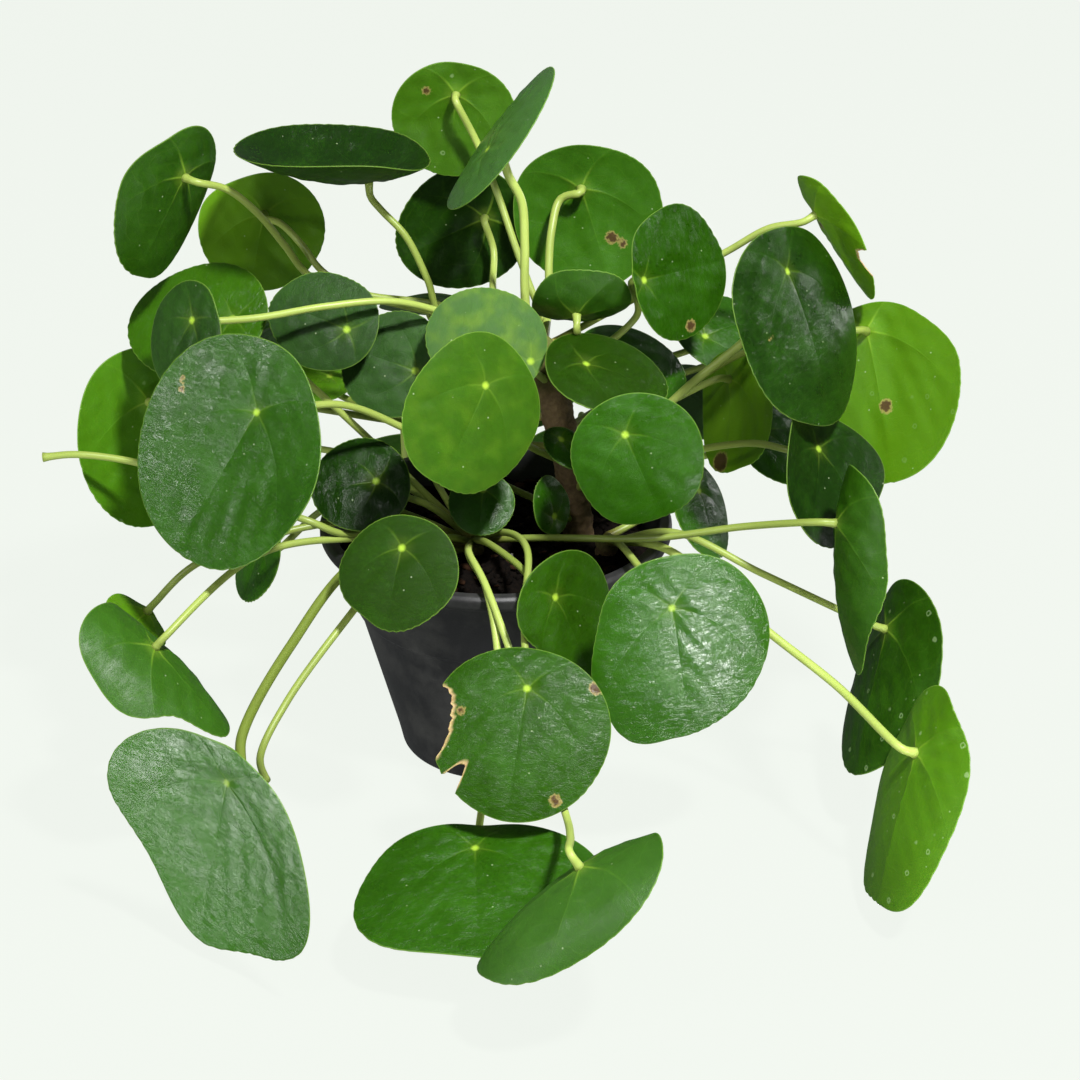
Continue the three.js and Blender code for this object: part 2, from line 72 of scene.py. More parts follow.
# The leaves of each stem. A row is: name, navel, [length, width, share of the length behind the navel],
# [heading of the upper face (0 towards the viewer, 90 to the right), its tilt upwards, turn of the tip],
# [curl across, curl along] as the slope reached at the edges in degrees, less than 0 for a cupped blade,
# how far up the stem the petiole grows, and the points that it passes.
LEAVES = {
    "main": [
        ["top_back", [-13, 45, 221], [40, 42, 0.28], [180, 4, 6], [12, 8],
            0.97, [[17, 12, 151], [12, 18, 162], [6, 25, 177], [1, 32, 190], [-6, 39, 206]]],
        ["top_edge", [-2, 5, 215], [56, 56, 0.4], [-89, 37, -161], [12, 8],
            0.99, [[11, 2, 158], [10, 3, 168], [10, 4, 183], [9, 6, 197], [5, 7, 205]]],
        ["upper_left", [-41, 14, 202], [66, 60, 0.32], [-130, 83, 34], [-46, -36],
            0.96, [[-17, 6, 156], [-22, 6, 170], [-29, 9, 184], [-37, 12, 192]]],
        ["left_top", [-101, 10, 204], [53, 44, 0.33], [-126, 6, 34], [-24, -8],
            0.93, [[-16, 14, 154], [-44, 22, 158], [-62, 20, 166], [-70, 18, 178], [-78, 15, 190],
                [-87, 12, 199]]],
        ["left_top_behind", [-79, 45, 179], [42, 43, 0.36], [-172, -5, 13], [10, 8],
            0.88, [[-18, 18, 156], [-46, 20, 160], [-58, 22, 167], [-65, 26, 175], [-72, 32, 180]]],
        ["left_small", [-96, -25, 168], [37, 32, 0.33], [-42, 20, -22], [10, 8],
            0.88, [[-14, 2, 159], [-33, -6, 167], [-54, -13, 168], [-76, -18, 166]]],
        ["left_centre", [-48, -8, 158], [37, 33, 0.27], [0, 34, -113], [10, 12],
            0.84, [[-14, 14, 145], [-38, 15, 150], [-48, 8, 157]]],
        ["left_big", [-74, -50, 147], [74, 68, 0.3], [-28, 24, -20], [-14, -8],
            0.25, [[-8, -4, 106], [-31, -16, 127], [-50, -30, 141]]],
        ["left_far", [-119, 18, 121], [62, 54, 0.31], [-142, -15, 17], [8, 8],
            0.6, [[-20, 10, 116], [-75, 14, 122]]],
        ["centre_left", [-26, -7, 143], [36, 36, 0.27], [-5, 36, -108], [8, 8], 0.7, [[0, 0, 127]]],
        ["pale", [12, -18, 151], [40, 37, 0.1], [8, 36, -120], [14, 14], 0.7, []],
        ["centre_front", [-2, -45, 154], [53, 49, 0.31], [32, 18, -38], [10, 8],
            0.45, [[10, -18, 122], [4, -32, 138]]],
        ["back_left", [-4, 55, 174], [47, 42, 0.31], [180, -5, 65], [8, 8],
            0.95, [[2, 20, 150], [-1, 35, 155], [-1, 48, 165]]],
        ["back_right", [29, 45, 188], [51, 51, 0.31], [176, -5, -18], [10, 8],
            0.9, [[18, 20, 157], [18, 27, 168], [19, 33, 178], [22, 40, 186]]],
        ["right_upper", [49, -5, 174], [40, 45, 0.13], [45, 20, 86], [8, -10],
            0.85, [[28, 6, 142], [47, 15, 153]]],
        ["cup", [27, -3, 162], [34, 35, 0.44], [180, 38, -90], [-50, -36], 0.78, [[22, 1, 142], [27, 0, 151]]],
        ["olive", [30, -22, 152], [42, 40, 0.33], [44, 70, 36], [10, 10], 0.7, [[28, -8, 140]]],
        ["olive_back", [38, 12, 140], [40, 36, 0.3], [28, 62, 48], [8, 8], 0.65, []],
        ["right_front", [42, -45, 137], [44, 44, 0.28], [0, 14, 24], [8, 14], 0.35, [[34, -20, 116]]],
        ["right_big", [94, -18, 182], [66, 66, 0.23], [55, 26, 2], [14, 10],
            0.5, [[46, -4, 120], [66, -4, 138], [86, -9, 160]]],
        ["right_top", [107, 20, 188], [48, 34, 0.29], [111, 23, -25], [-30, -8],
            0.88, [[42, 18, 156], [77, 26, 172], [91, 22, 182]]],
        ["right_far", [125, 15, 148], [62, 62, 0.15], [147, -24, -27], [10, 10],
            0.5, [[46, -3, 118], [64, -2, 135], [84, 7, 144]]],
        ["right_hanging", [80, 14, 131], [42, 38, 0.24], [124, -16, -22], [14, 8], 0.5, [[45, 12, 116]]],
        ["right_mid", [106, -25, 123], [48, 50, 0.29], [56, 29, -46], [-30, -8],
            0.3, [[52, -2, 107], [85, -14, 120]]],
        ["inner_oval", [20, -22, 97], [20, 17, 0.3], [49, 18, 180], [8, 8], 0.25, []],
        ["inner_small", [22, -17, 123], [18, 15, 0.3], [44, 60, -12], [8, 8], 0.45, []],
        ["back_bright", [-60, 60, 113], [36, 33, 0.3], [0, 75, -106], [8, 8], 0.5, [[-10, 22, 106]]],
        ["back_grey", [64, 48, 112], [36, 33, 0.3], [0, 65, 52], [8, 8], 0.5, [[40, 22, 106]]],
        ["back_right_dark", [72, 36, 138], [36, 33, 0.3], [32, 55, 96], [8, 8], 0.75, [[40, 20, 132]]],
        ["back_right_low", [93, 25, 107], [36, 32, 0.3], [39, 58, 18], [8, 8], 0.4, [[55, 16, 98]]],
        ["back_top", [-24, 65, 140], [40, 37, 0.3], [180, 60, 0], [8, 8], 0.85, [[0, 30, 138]]],
        ["back_left_far", [-78, 70, 130], [46, 42, 0.3], [-140, 45, 0], [10, 8], 0.7, [[-20, 34, 124]]],
        ["back_low_right", [30, 105, 58], [64, 58, 0.27], [165, 20, 0], [10, 8],
            0.25, [[30, 30, 98], [30, 68, 94]]],
        ["back_mid", [2, 95, 104], [60, 55, 0.27], [180, 32, 0], [10, 8], 0.6, [[12, 45, 118]]],
        ["back_side_right", [88, 68, 122], [56, 50, 0.27], [135, 25, 0], [10, 8], 0.55, [[45, 32, 118]]],
    ],
    "left": [
        ["left_dark", [-87, 7, 156], [50, 44, 0.24], [-19, 48, -82], [10, 10],
            0.97, [[-22, -6, 96], [-42, -6, 118], [-68, -3, 143]]],
        ["right_narrow", [109, -64, 115], [69, 46, 0.27], [97, -8, -16], [-64, -28],
            0.9, [[12, -26, 91], [52, -40, 98], [80, -50, 107]]],
        ["front_dark", [20, -70, 92], [50, 40, 0.25], [45, 20, 14], [8, 8], 0.9, [[-2, -34, 93], [10, -54, 93]]],
        ["front_eaten", [11, -100, 76], [55, 56, 0.24], [0, 45, -9], [10, 12],
            0.9, [[4, -28, 94], [11, -50, 98], [10, -71, 87]]],
        ["bottom_left", [-5, -125, 34], [58, 78, 0.2], [-20, 80, 22], [10, 10],
            0.9, [[-8, -40, 91], [-2, -60, 89], [2, -80, 68], [-4, -110, 32]]],
        ["bottom_right", [27, -172, 57], [72, 46, 0.38], [76, -56, -16], [-60, -26],
            0.9, [[-8, -40, 92], [-2, -60, 90], [22, -118, 45], [24, -150, 54]]],
        ["front_left", [-28, -75, 112], [37, 39, 0.29], [-15, 40, -2], [8, 8], 0.9, [[-16, -40, 98]]],
        ["low_left", [-78, -141, 67], [76, 80, 0.18], [-37, -2, -14], [-14, -8],
            0.9, [[-43, -48, 94], [-63, -86, 83], [-75, -122, 72]]],
        ["low_left_fold", [-107, -79, 78], [58, 50, 0.38], [-94, -50, 15], [-60, -12],
            0.85, [[-44, -28, 92], [-76, -48, 96]]],
        ["low_left_small", [-116, -36, 68], [24, 24, 0.12], [-101, -50, 96], [8, 8],
            0.9, [[-50, -20, 94], [-97, -36, 87]]],
        ["inner_left", [-39, -22, 110], [33, 33, 0.34], [0, 46, -79], [8, 8], 0.95, [[-22, -12, 96]]],
        ["inner_centre", [-4, -18, 105], [22, 22, 0.27], [0, 46, -4], [8, 8], 0.99, []],
        ["left_low", [-80, -6, 78], [28, 27, 0.3], [-60, 30, 10], [8, 8], 0.9, [[-36, -6, 92], [-56, -4, 92]]],
        ["back_low_left", [-38, 98, 62], [60, 54, 0.27], [-160, 22, 0], [10, 8],
            0.9, [[-22, 20, 92], [-34, 68, 94]]],
        ["back_side_left", [-98, 58, 92], [52, 47, 0.27], [-120, 20, 0], [10, 8], 0.95, [[-45, 20, 98]]],
    ],
    "right": [
        ["right_low", [130, -42, 65], [67, 56, 0.27], [102, -25, -27], [-30, -6],
            0.85, [[60, -24, 92], [88, -36, 83]]],
        ["right_lowest", [133, -101, 53], [72, 50, 0.32], [104, -26, -20], [-26, -10],
            0.9, [[58, -38, 92], [89, -56, 72], [110, -74, 62]]],
        ["front_right", [56, -85, 96], [64, 60, 0.27], [11, 7, 8], [14, 8],
            0.95, [[42, -30, 90], [48, -52, 92]]],
        ["right_behind", [69, -2, 97], [34, 30, 0.3], [61, 31, -21], [10, 8], 0.95, []],
    ],
}

# Petioles that have lost their blades: stem, height on it, and the points up to the blunt end.
BARE_PETIOLES = [
    ["left", 0.9, [[-30, -20, 94], [-49, -31, 95], [-60, -36, 102], [-91, -22, 107],
        [-119, -12, 112], [-139, -12, 115], [-150, -12, 114]]],
    ["left", 0.8, [[-34, -50, 92], [-45, -70, 86], [-64, -92, 67], [-72, -104, 54], [-71, -102, 44]]],
]


# Blades: size of the UV square, the CAD blade's thickness and egg shape, and the grid of a finished blade, whose
# rings stand closer from EDGE_START of the way to the rim
FLAT_SIZE = 100
BLADE_THICKNESS = 0.9
RIM_THINNING = 0.7
EGG = 0.07
RINGS = 22
EDGE_START = 0.93
EDGE_SHARES = [0.955, 0.975, 0.99, 1.0]
RIM_POINTS = 128
SMALL_RIM_POINTS = 96
SMALL_BLADE = 45
GNAWED_SHARES = (0.93, 0.985)

# Rims: low waves and their size as a share, and scallops, shallow and counted round the rim
RIM_WAVES = (2, 3, 5)
RIM_WAVE = 0.006
SCALLOPS = 42
SCALLOP_DEPTH = 0.25

# Veins: five leave the navel, one to the tip, and bend towards the tip by VEIN_BEND radians at the rim
VEINS = 5
VEIN_BEND = 0.6
GROOVE_DEPTH = 0.13
GROOVE_WIDTH = 1.1
PILLOW = 0.28
PILLOW_WIDTH = 5
NAVEL_DIP = 0.7
NAVEL_DIP_RADIUS = 3.2
NAVEL_GLOW = 2.0
BRANCH_PITCH = 6.5
GROOVE_BUMP = 0.06

# Puckers: how many ripples cross a blade, how far apart their crests are and how high they stand; then its slow
# waves: how many go round the navel, and how high they rise at the rim as a share of the reach
PUCKERS = 5
PUCKER_PITCH = (5, 9)
PUCKER_HEIGHT = 0.07
SLOW_WAVES = ((2, 0.016), (3, 0.010), (5, 0.006))

# Colours on a leaf's green; the grey green is partly a blade's own grey tint and partly painted sheen
GREY_GREEN_AND_SHEEN = "#4c6a40"
PALE_CLOUD = "#7a9a22"
NAVEL_YELLOW = "#a6c83f"
MINERAL_SPECK = "#c9d8b0"
MINERAL_RING = "#a9c48c"
SCAR_HALO = "#b79f63"
SCAR_BROWN = "#3b2413"
PALE_MARGIN = "#7da03f"
TORN_DARK = "#7a4a1c"
TORN_LIGHT = "#e6d49a"

# What sets single blades apart: light, yellow and grey tint, pale clouds, gloss, added roughness, mineral rings.
# Light is partly a blade's own tone and partly painted light and shade for how brightly the blade is lit, the
# yellow tint partly painted backlight shining through the blade, and the grey tint partly painted sheen.
LOOK_NAMES = ("light", "lime_and_backlight", "grey", "blotches", "gloss", "matt", "rings")
PLAIN_LOOK = (0.4, 0, 0, 0, 0.3, 0, 0)
LOOKS = {
    "centre_front": (0.25, 0.3, 0, 0.1, 0.1, 0.25, 0),
    "olive": (0, 0.1, 0, 0, 0.1, 0.1, 0),
    "pale": (0.4, 0.3, 0.5, 0.3, 0.15, 0.3, 0),
    "centre_left": (0.2, 0, 0.2, 0, 0.15, 0.15, 0),
    "left_centre": (0.1, 0, 0.2, 0, 0.1, 0.1, 0),
    "upper_left": (0, 0, 0, 0, 0.3, 0, 0),
    "left_small": (0.2, 0, 0.1, 0, 0.3, 0, 0),
    "left_big": (0.4, 0, 0, 0, 0.5, -0.05, 0),
    "front_left": (0, 0.1, 0, 0, 0.1, 0.2, 0),
    "front_right": (0.6, 0, 0, 0, 0.75, -0.08, 0),
    "front_eaten": (0.3, 0.05, 0, 0, 0.15, 0, 0),
    "front_dark": (0.2, 0.1, 0, 0, 0.1, 0, 0),
    "right_front": (0.45, 0, 0, 0, 0.2, 0, 0),
    "right_big": (0.1, 0, 0, 0, 0.3, 0, 0),
    "right_upper": (0.3, 0, 0, 0, 0.15, 0, 0),
    "top_edge": (0.9, 0, 0.45, 0, 0.3, 0, 0),
    "right_far": (0.6, 0.5, 0, 0, 0.2, 0, 0.25),
    "back_left": (0, 0, 0, 0, 0.2, 0, 0),
    "back_right": (0.8, 0, 0, 0, 0.3, 0, 0),
    "left_top": (0.25, 0, 0, 0, 0.2, 0, 0),
    "left_top_behind": (1, 0.8, 0, 0, 0.3, 0, 0),
    "left_far": (0.85, 0.2, 0, 0, 0.2, 0, 0.5),
    "left_dark": (0.35, 0.2, 0, 0, 0.15, 0, 0),
    "right_mid": (0, 0, 0, 0, 0.2, 0.1, 0),
    "right_low": (0.25, 0, 0, 0, 0.2, 0, 0.8),
    "right_lowest": (0.9, 0.4, 0, 0, 0.3, 0, 1),
    "right_hanging": (1, 1, 0, 0, 0.3, 0, 0),
    "right_narrow": (0.45, 0, 0, 0, 0.3, 0, 0),
    "inner_left": (0, 0, 0, 0, 0.15, 0, 0),
    "right_top": (1, 0.8, 0, 0, 0.2, 0, 0),
    "top_back": (0.6, 0.2, 0, 0, 0.3, 0, 0.8),
    "low_left": (0.9, 0, 0, 0, 0.75, -0.06, 0),
    "low_left_fold": (0.6, 0, 0.1, 0, 0.2, 0, 0),
    "low_left_small": (0.9, 0.5, 0, 0, 0.3, 0, 0),
    "bottom_right": (0.6, 0, 0.15, 0, 0.3, 0, 0),
    "bottom_left": (0.45, 0, 0, 0, 0.3, 0, 0),
    "back_bright": (1, 0.9, 0, 0, 0.3, 0, 0),
    "back_grey": (0.7, 0, 0.9, 0, 0.3, 0, 0),
}
# Brown scars: places on the flat blade, towards the tip and across, and radii
MARKS = {
    "front_eaten": [(10, -19, 1.0), (33, 14, 1.6), (-3.5, 21, 1.8)],
    "right_upper": [(17, -18.5, 1.7)],
    "right_hanging": [(28, 3.5, 3.2)],
    "right_far": [(26.5, -1.5, 2.2)],
    "back_right": [(19, -5, 1.9), (22, -8, 1.3)],
    "left_big": [(4, -27.5, 0.7), (7, -26, 0.8)],
    "top_back": [(-0.5, 10, 1.1)],
    "right_top": [(4, 3, 1.2)],
    "right_big": [(15.5, -20, 0.5)],
}
NO_MARK = 99.0
# Rims that are fuller or flatter than an ellipse: middle and half width in degrees from the tip, change as a share
SHAPES = {
    "left_top": [(135, 50, -0.2), (-45, 40, 0.08)],
    "left_top_behind": [(145, 45, -0.12)],
    "left_small": [(150, 45, -0.08)],
    "left_big": [(140, 50, -0.14), (50, 45, 0.04), (-140, 45, 0.04)],
    "centre_front": [(150, 50, -0.1), (-115, 60, -0.13), (0, 40, -0.05)],
    "back_right": [(-140, 45, -0.1), (140, 40, 0.05)],
    "right_upper": [(115, 50, -0.12), (60, 40, 0.05)],
    "right_front": [(-100, 60, -0.09), (0, 50, -0.03)],
    "right_big": [(-140, 45, 0.08), (165, 35, -0.1), (5, 35, 0.03)],
    "right_far": [(-135, 40, -0.14)],
    "right_hanging": [(90, 75, -0.3), (-90, 75, 0.3)],
    "right_mid": [(130, 50, 0.22), (-150, 40, -0.1), (-70, 50, 0.12)],
    "right_narrow": [(50, 50, -0.15), (-50, 50, -0.15), (140, 35, 0.08), (-140, 35, 0.08)],
    "front_dark": [(-80, 60, -0.25), (120, 60, 0.2)],
    "bottom_left": [(-115, 45, -0.1), (-20, 45, -0.08)],
    "bottom_right": [(-95, 75, 0.18), (165, 50, -0.12)],
    "front_left": [(-130, 50, -0.14), (-30, 30, -0.03)],
    "low_left": [(-45, 50, -0.14), (-110, 45, 0.05), (85, 45, 0.1), (30, 30, -0.05)],
    "low_left_fold": [(45, 50, -0.25), (150, 40, 0.1)],
    "right_low": [(-70, 45, 0.08), (150, 45, -0.16)],
    "right_lowest": [(-150, 50, -0.12), (-35, 40, 0.06), (50, 40, 0.1)],
    "front_right": [(-115, 50, -0.15), (-38, 30, 0.1), (15, 40, -0.05), (90, 40, 0.03)],
}
# Bites, as in the CAD model: middle and half width in degrees from the tip, and depth as a share
BITES = {"front_eaten": [(-90, 24, 0.22), (-47, 6.5, 0.2)], "right_top": [(-60, 12, 0.2)]}
# Stalks that are paler or darker than most, from 0 to 1, the tones of the others and of the bare ones, and stalks
# that are thicker than most
PETIOLE_TONES = {"bottom_left": 1.0, "bottom_right": 1.0, "top_edge": 0.9, "left_small": 0.8, "right_hanging": 0.8,
                 "right_lowest": 0.9, "low_left": 0.05, "top_back": 0.7, "back_left": 0.8}
PLAIN_TONES = (0.3, 0.7)
BARE_TONE = 0.5
PETIOLE_RADII = {"low_left": 1.75, "top_edge": 1.6, "right_lowest": 1.5, "right_big": 1.5, "back_right": 1.5}

# Stalks, with how much thicker they are at the foot and at the blade, and over what length; then the old stem, with
# its leaf scars and cork
PETIOLE_RADIUS = 1.3
SLIMMEST = 0.92
FOOT_FLARE = 0.5
FOOT_LENGTH = 5
TOP_FLARE = 0.35
TOP_LENGTH = 1.6
PETIOLE_SIDES = 14
PETIOLE_STEP = 1.6
NECK = 6
CURVE_STEPS = 24
TRUNK_STEP = 0.7
TRUNK_SIDES = 40
TRUNK_INSET = 0.3
SCAR_PITCH = 7
SCAR_SWELL = 0.45
CORK_HEIGHT = 0.35
CORK_SIZE = 1.6
STALK_SHADE = "#64752a"
STALK_LIGHT = "#adc060"
STALK_FOOT = "#8a6a3a"
CORK_DARK = "#2c1e12"
CORK_LIGHT = "#8a7450"

# Pot, as in the CAD model
POT_HEIGHT = 86
RIM_RADIUS = 60
LIP_WIDTH = 4
LIP_DROP = 5
LIP_ROUND = 1.2
WALL = 1.4
STEP_Z = 56
STEP_RADIUS = 48.5
STEP_DEPTH = 1.1
CORNER_Z = 9
CORNER_RADIUS = 35
FOOT_RADIUS = 29
FOOT_ROUND = 1.6
FLOOR = 2
DRAIN_COUNT = 8
DRAIN_RADIUS = 3
DRAIN_CIRCLE = 22
DRAIN_SIDES = 32
POT_SEGMENTS = 192
CORNER_STEPS = 5
SEAM_TURN = radians(-38)

# Soil: the CAD model's mound, and the width and height of the clods on it
SOIL_Z = 76
SOIL_MOUND = 3
SOIL_CLEARANCE = 0.3
SOIL_LUMP = 0.8
SOIL_EDGE = 52.8
SOIL_SINK = 0.6
CLODS = ((6, 0.9), (2.6, 0.7), (1.2, 0.45))
CLOD_SHIFT = 90
SOIL_RINGS = 110
SOIL_SEGMENTS = 240
SOIL_SEED = 7


# Meshes

def full_turn(count):
    """Even angles round a full turn, the last one a step short of it."""
    return np.linspace(0, 2 * pi, count, endpoint=False)


def bare_mesh(name, points, blocks):
    """A mesh from points in millimetres and several arrays of faces."""
    mesh = bpy.data.meshes.new(name)
    mesh.from_pydata(points * MM, [], [face for block in blocks for face in block.tolist()])
    return mesh


def piece(name, points, blocks, materials, slot, nodes, face_materials=None, uv=None, values=None):
    """Makes one shown piece, with a UV pair and named values for each point."""
    mesh = bare_mesh(name, points, blocks)
    for material in materials:
        mesh.materials.append(material)
    if face_materials is not None:
        mesh.polygons.foreach_set("material_index", face_materials)
    mesh.polygons.foreach_set("use_smooth", np.ones(len(mesh.polygons), bool))
    corners = np.empty(len(mesh.loops), int)
    mesh.loops.foreach_get("vertex_index", corners)
    if uv is not None:
        layer = mesh.uv_layers.new(name="flat")
        layer.uv.foreach_set("vector", uv[corners].astype(np.float32).ravel())
    for key, value in (values or {}).items():
        attribute = mesh.attributes.new(key, "FLOAT", "POINT")
        attribute.data.foreach_set("value", np.broadcast_to(value, len(points)).astype(np.float32))
    mesh.update()
    made = bpy.data.objects.new(name, mesh)
    bpy.context.scene.collection.objects.link(made)
    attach(made, "root")
    if nodes:
        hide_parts(*nodes)
    return made


def grid_faces(rows, columns, start=0, flip=False):
    """Quads between rows of points that each close on themselves, counter-clockwise seen from outside."""
    row, column = np.meshgrid(np.arange(rows - 1), np.arange(columns), indexing="ij")
    following = (column + 1) % columns
    corner = [row * columns + column, row * columns + following,
              (row + 1) * columns + following, (row + 1) * columns + column]
    quads = np.stack(corner, -1).reshape(-1, 4) + start
    return quads[:, ::-1] if flip else quads


def fan_faces(centre, ring, flip=False):
    """Triangles from one point to a closed ring of points."""
    fan = np.stack([np.full(len(ring), centre), ring, np.roll(ring, -1)], -1)
    return fan[:, ::-1] if flip else fan


def closed_faces(rows, columns):
    """Quads between closed rows of points, and a fan at each end, to the two points that follow the rows."""
    total, ring = rows * columns, np.arange(columns)
    return [grid_faces(rows, columns),
            fan_faces(total, ring, flip=True),
            fan_faces(total + 1, total - columns + ring)]


def smooth_step(x, low, high):
    """0 below low, 1 above high, and 3t^2 - 2t^3 between, with t the share of the way."""
    t = np.clip((x - low) / (high - low), 0, 1)
    return t * t * (3 - 2 * t)


def lattice_noise(x, y, size, rng):
    """Smooth random hills about size wide: random heights on a square lattice, joined by 3t^2 - 2t^3 blends."""
    heights = rng.uniform(-1, 1, (64, 64))
    i, j = np.floor(x / size).astype(int), np.floor(y / size).astype(int)
    u, v = smooth_step(x / size - i, 0, 1), smooth_step(y / size - j, 0, 1)
    near, far = heights[i % 64, j % 64], heights[(i + 1) % 64, j % 64]
    near_next, far_next = heights[i % 64, (j + 1) % 64], heights[(i + 1) % 64, (j + 1) % 64]
    return (near * (1 - u) + far * u) * (1 - v) + (near_next * (1 - u) + far_next * u) * v


# Paths

def curve_points(points):
    """A centripetal Catmull-Rom curve through the points, as the CAD stalks have, with even steps in each stretch:
    each stretch is the cubic that leaves and meets its ends at slopes weighed by the roots of the gaps."""
    p = np.asarray(points, float)
    p = np.vstack([2 * p[0] - p[1], p, 2 * p[-1] - p[-2]])
    gap = np.maximum(np.linalg.norm(np.diff(p, axis=0), axis=1) ** 0.5, 1e-4)[:, None]
    a, b, c = gap[:-2], gap[1:-1], gap[2:]
    p0, p1, p2, p3 = p[:-3], p[1:-2], p[2:-1], p[3:]
    leave = ((p1 - p0) / a - (p2 - p0) / (a + b) + (p2 - p1) / b) * b
    meet = ((p2 - p1) / b - (p3 - p1) / (b + c) + (p3 - p2) / c) * b
    square = 3 * (p2 - p1) - 2 * leave - meet
    cube = 2 * (p1 - p2) + leave + meet
    t = np.linspace(0, 1, CURVE_STEPS, endpoint=False)[:, None]
    stretches = [q + l * t + s * t**2 + u * t**3 for q, l, s, u in zip(p1, leave, square, cube)]
    return np.vstack([*stretches, p[-2]])


def smooth_path(points, step):
    """The curve through the points at even lengths, with the length run at each."""
    dense = curve_points(points)
    length = np.concatenate([[0], np.cumsum(np.linalg.norm(np.diff(dense, axis=0), axis=1))])
    places = np.linspace(0, length[-1], max(4, int(np.ceil(length[-1] / step)) + 1))
    return np.stack([np.interp(places, length, dense[:, axis]) for axis in range(3)], -1), places


def path_frame(path):
    """Two directions square to the path at each point: one leans on the normal of the plane that fits the path."""
    tangent = np.gradient(path, axis=0)
    tangent /= np.linalg.norm(tangent, axis=1, keepdims=True)
    spread = np.linalg.svd(path - path.mean(0), full_matrices=True)[2]
    side = np.cross(spread[2], tangent)
    side /= np.linalg.norm(side, axis=1, keepdims=True)
    return side, np.cross(tangent, side)


def tube(path, radius, sides):
    """Path plus radius times (cos a, sin a) across it, with each end closed by a fan. The radius may differ by
    point and angle. Returns points, faces, and for each point its angle and its place in the path."""
    side, up = path_frame(path)
    angle = full_turn(sides)
    rows = len(path)
    radius = np.broadcast_to(radius, (rows, sides))[..., None]
    ring = np.cos(angle)[:, None] * side[:, None] + np.sin(angle)[:, None] * up[:, None]
    points = np.vstack([(path[:, None] + radius * ring).reshape(-1, 3), path[:1], path[-1:]])
    around = np.concatenate([np.tile(angle, rows), [0, 0]])
    row = np.concatenate([np.repeat(np.arange(rows), sides), [0, rows - 1]])
    return points, closed_faces(rows, sides), around, row


def gathered(parts):
    """Several (points, faces, ...) surfaces as one, with the faces renumbered and the rest stacked."""
    points, blocks, *rest = zip(*parts)
    starts = np.cumsum([0, *map(len, points)])
    blocks = [block + start for surface, start in zip(blocks, starts) for block in surface]
    return np.vstack(points), blocks, *map(np.concatenate, rest)


# Leaves

def leaf_axes(heading, tilt, turn):
    """The directions of a blade's tip, its right side and its upper face, from the three angles of its row."""
    a, e, t = radians(heading), radians(tilt), radians(turn)
    normal = np.array([np.sin(a) * np.cos(e), -np.cos(a) * np.cos(e), np.sin(e)])
    fall = np.array([np.sin(a) * np.sin(e), -np.cos(a) * np.sin(e), -np.cos(e)])
    tip = np.cos(t) * fall + np.sin(t) * np.cross(normal, fall)
    return np.array([tip, np.cross(normal, tip), normal])


def turn_from(angle, middle):
    """The signed angle in degrees from middle to angle, between -180 and 180."""
    return (np.degrees(angle) - middle + 180) % 360 - 180


def rim_outline(name, length, width, behind, angle, rng):
    """The flat rim: an ellipse seen from the navel, narrowed towards the tip by EGG, pulled in or out by cosine
    bumps, waved by a few low harmonics, scalloped, and cut back by round bites with ragged edges."""
    x = length * (0.5 - behind + 0.5 * np.cos(angle))
    y = width / 2 * np.sin(angle) * (1 - EGG * np.cos(angle))
    factor = np.ones_like(angle)
    for middle, half, change in SHAPES.get(name, ()):
        off = np.clip(turn_from(angle, middle) / half, -1, 1)
        factor += change * (0.5 + 0.5 * np.cos(pi * off))
    for k in RIM_WAVES:
        factor += RIM_WAVE * rng.normal() * np.cos(k * angle + rng.uniform(0, 2 * pi))
    phase = angle * SCALLOPS / 2 + 1.3 * np.sin(3 * angle + rng.uniform(0, 2 * pi))
    scallops = (np.abs(np.sin(phase)) - 0.6) * smooth_step(np.sin(angle * 1.5 + 1), -0.6, 0.8)
    factor += SCALLOP_DEPTH / (width / 2) * scallops
    bite = np.zeros_like(angle)
    for middle, half, depth in BITES.get(name, ()):
        off = turn_from(angle, middle) / half
        inside = np.clip(1 - off**2, 0, 1)
        ragged = 1 + 0.05 * np.sin(angle * 37) + 0.03 * np.sin(angle * 71 + 1)
        factor = np.minimum(factor, 1 - depth * np.sqrt(inside) * ragged)
        bite = np.maximum(bite, smooth_step(-np.abs(off), -1.12, -1.0))
    return x * factor, y * factor, bite


def vein_distance(x, y, reach):
    """How far a flat point lies from the nearest main vein: the veins stand at even steps of the angle
    phi + VEIN_BEND * r / reach * sin(phi), so that they start straight and bend towards the tip."""
    r, phi = np.hypot(x, y), np.arctan2(y, x)
    warped = (phi + VEIN_BEND * r / reach * np.sin(phi)) * VEINS / (2 * pi)
    return np.abs(warped - np.round(warped)) * 2 * pi / VEINS * r


def relief(x, y, share, reach, rng):
    """Height above the smooth blade: a dip at the navel, grooves along the veins with swollen panels between,
    shallow puckers of random sines, and slow waves that grow towards the rim."""
    r, phi = np.hypot(x, y), np.arctan2(y, x)
    d = vein_distance(x, y, reach)
    fade = 1 - smooth_step(share, 0.75, 1.0)
    height = -NAVEL_DIP * np.exp(-((r / NAVEL_DIP_RADIUS) ** 2))
    height -= GROOVE_DEPTH * np.exp(-((d / GROOVE_WIDTH) ** 2)) * (0.3 + 0.7 * fade)
    height += PILLOW * (1 - np.exp(-((d / PILLOW_WIDTH) ** 2))) * 4 * share * (1 - share)
    for _ in range(PUCKERS):
        turn = rng.uniform(0, pi)
        pitch = rng.uniform(*PUCKER_PITCH)
        along = x * np.cos(turn) + y * np.sin(turn)
        height += PUCKER_HEIGHT * np.sin(2 * pi * along / pitch + rng.uniform(0, 2 * pi)) * fade
    for k, size in SLOW_WAVES:
        height += reach * size * rng.normal() * share**2 * np.cos(k * phi + rng.uniform(0, 2 * pi))
    return height


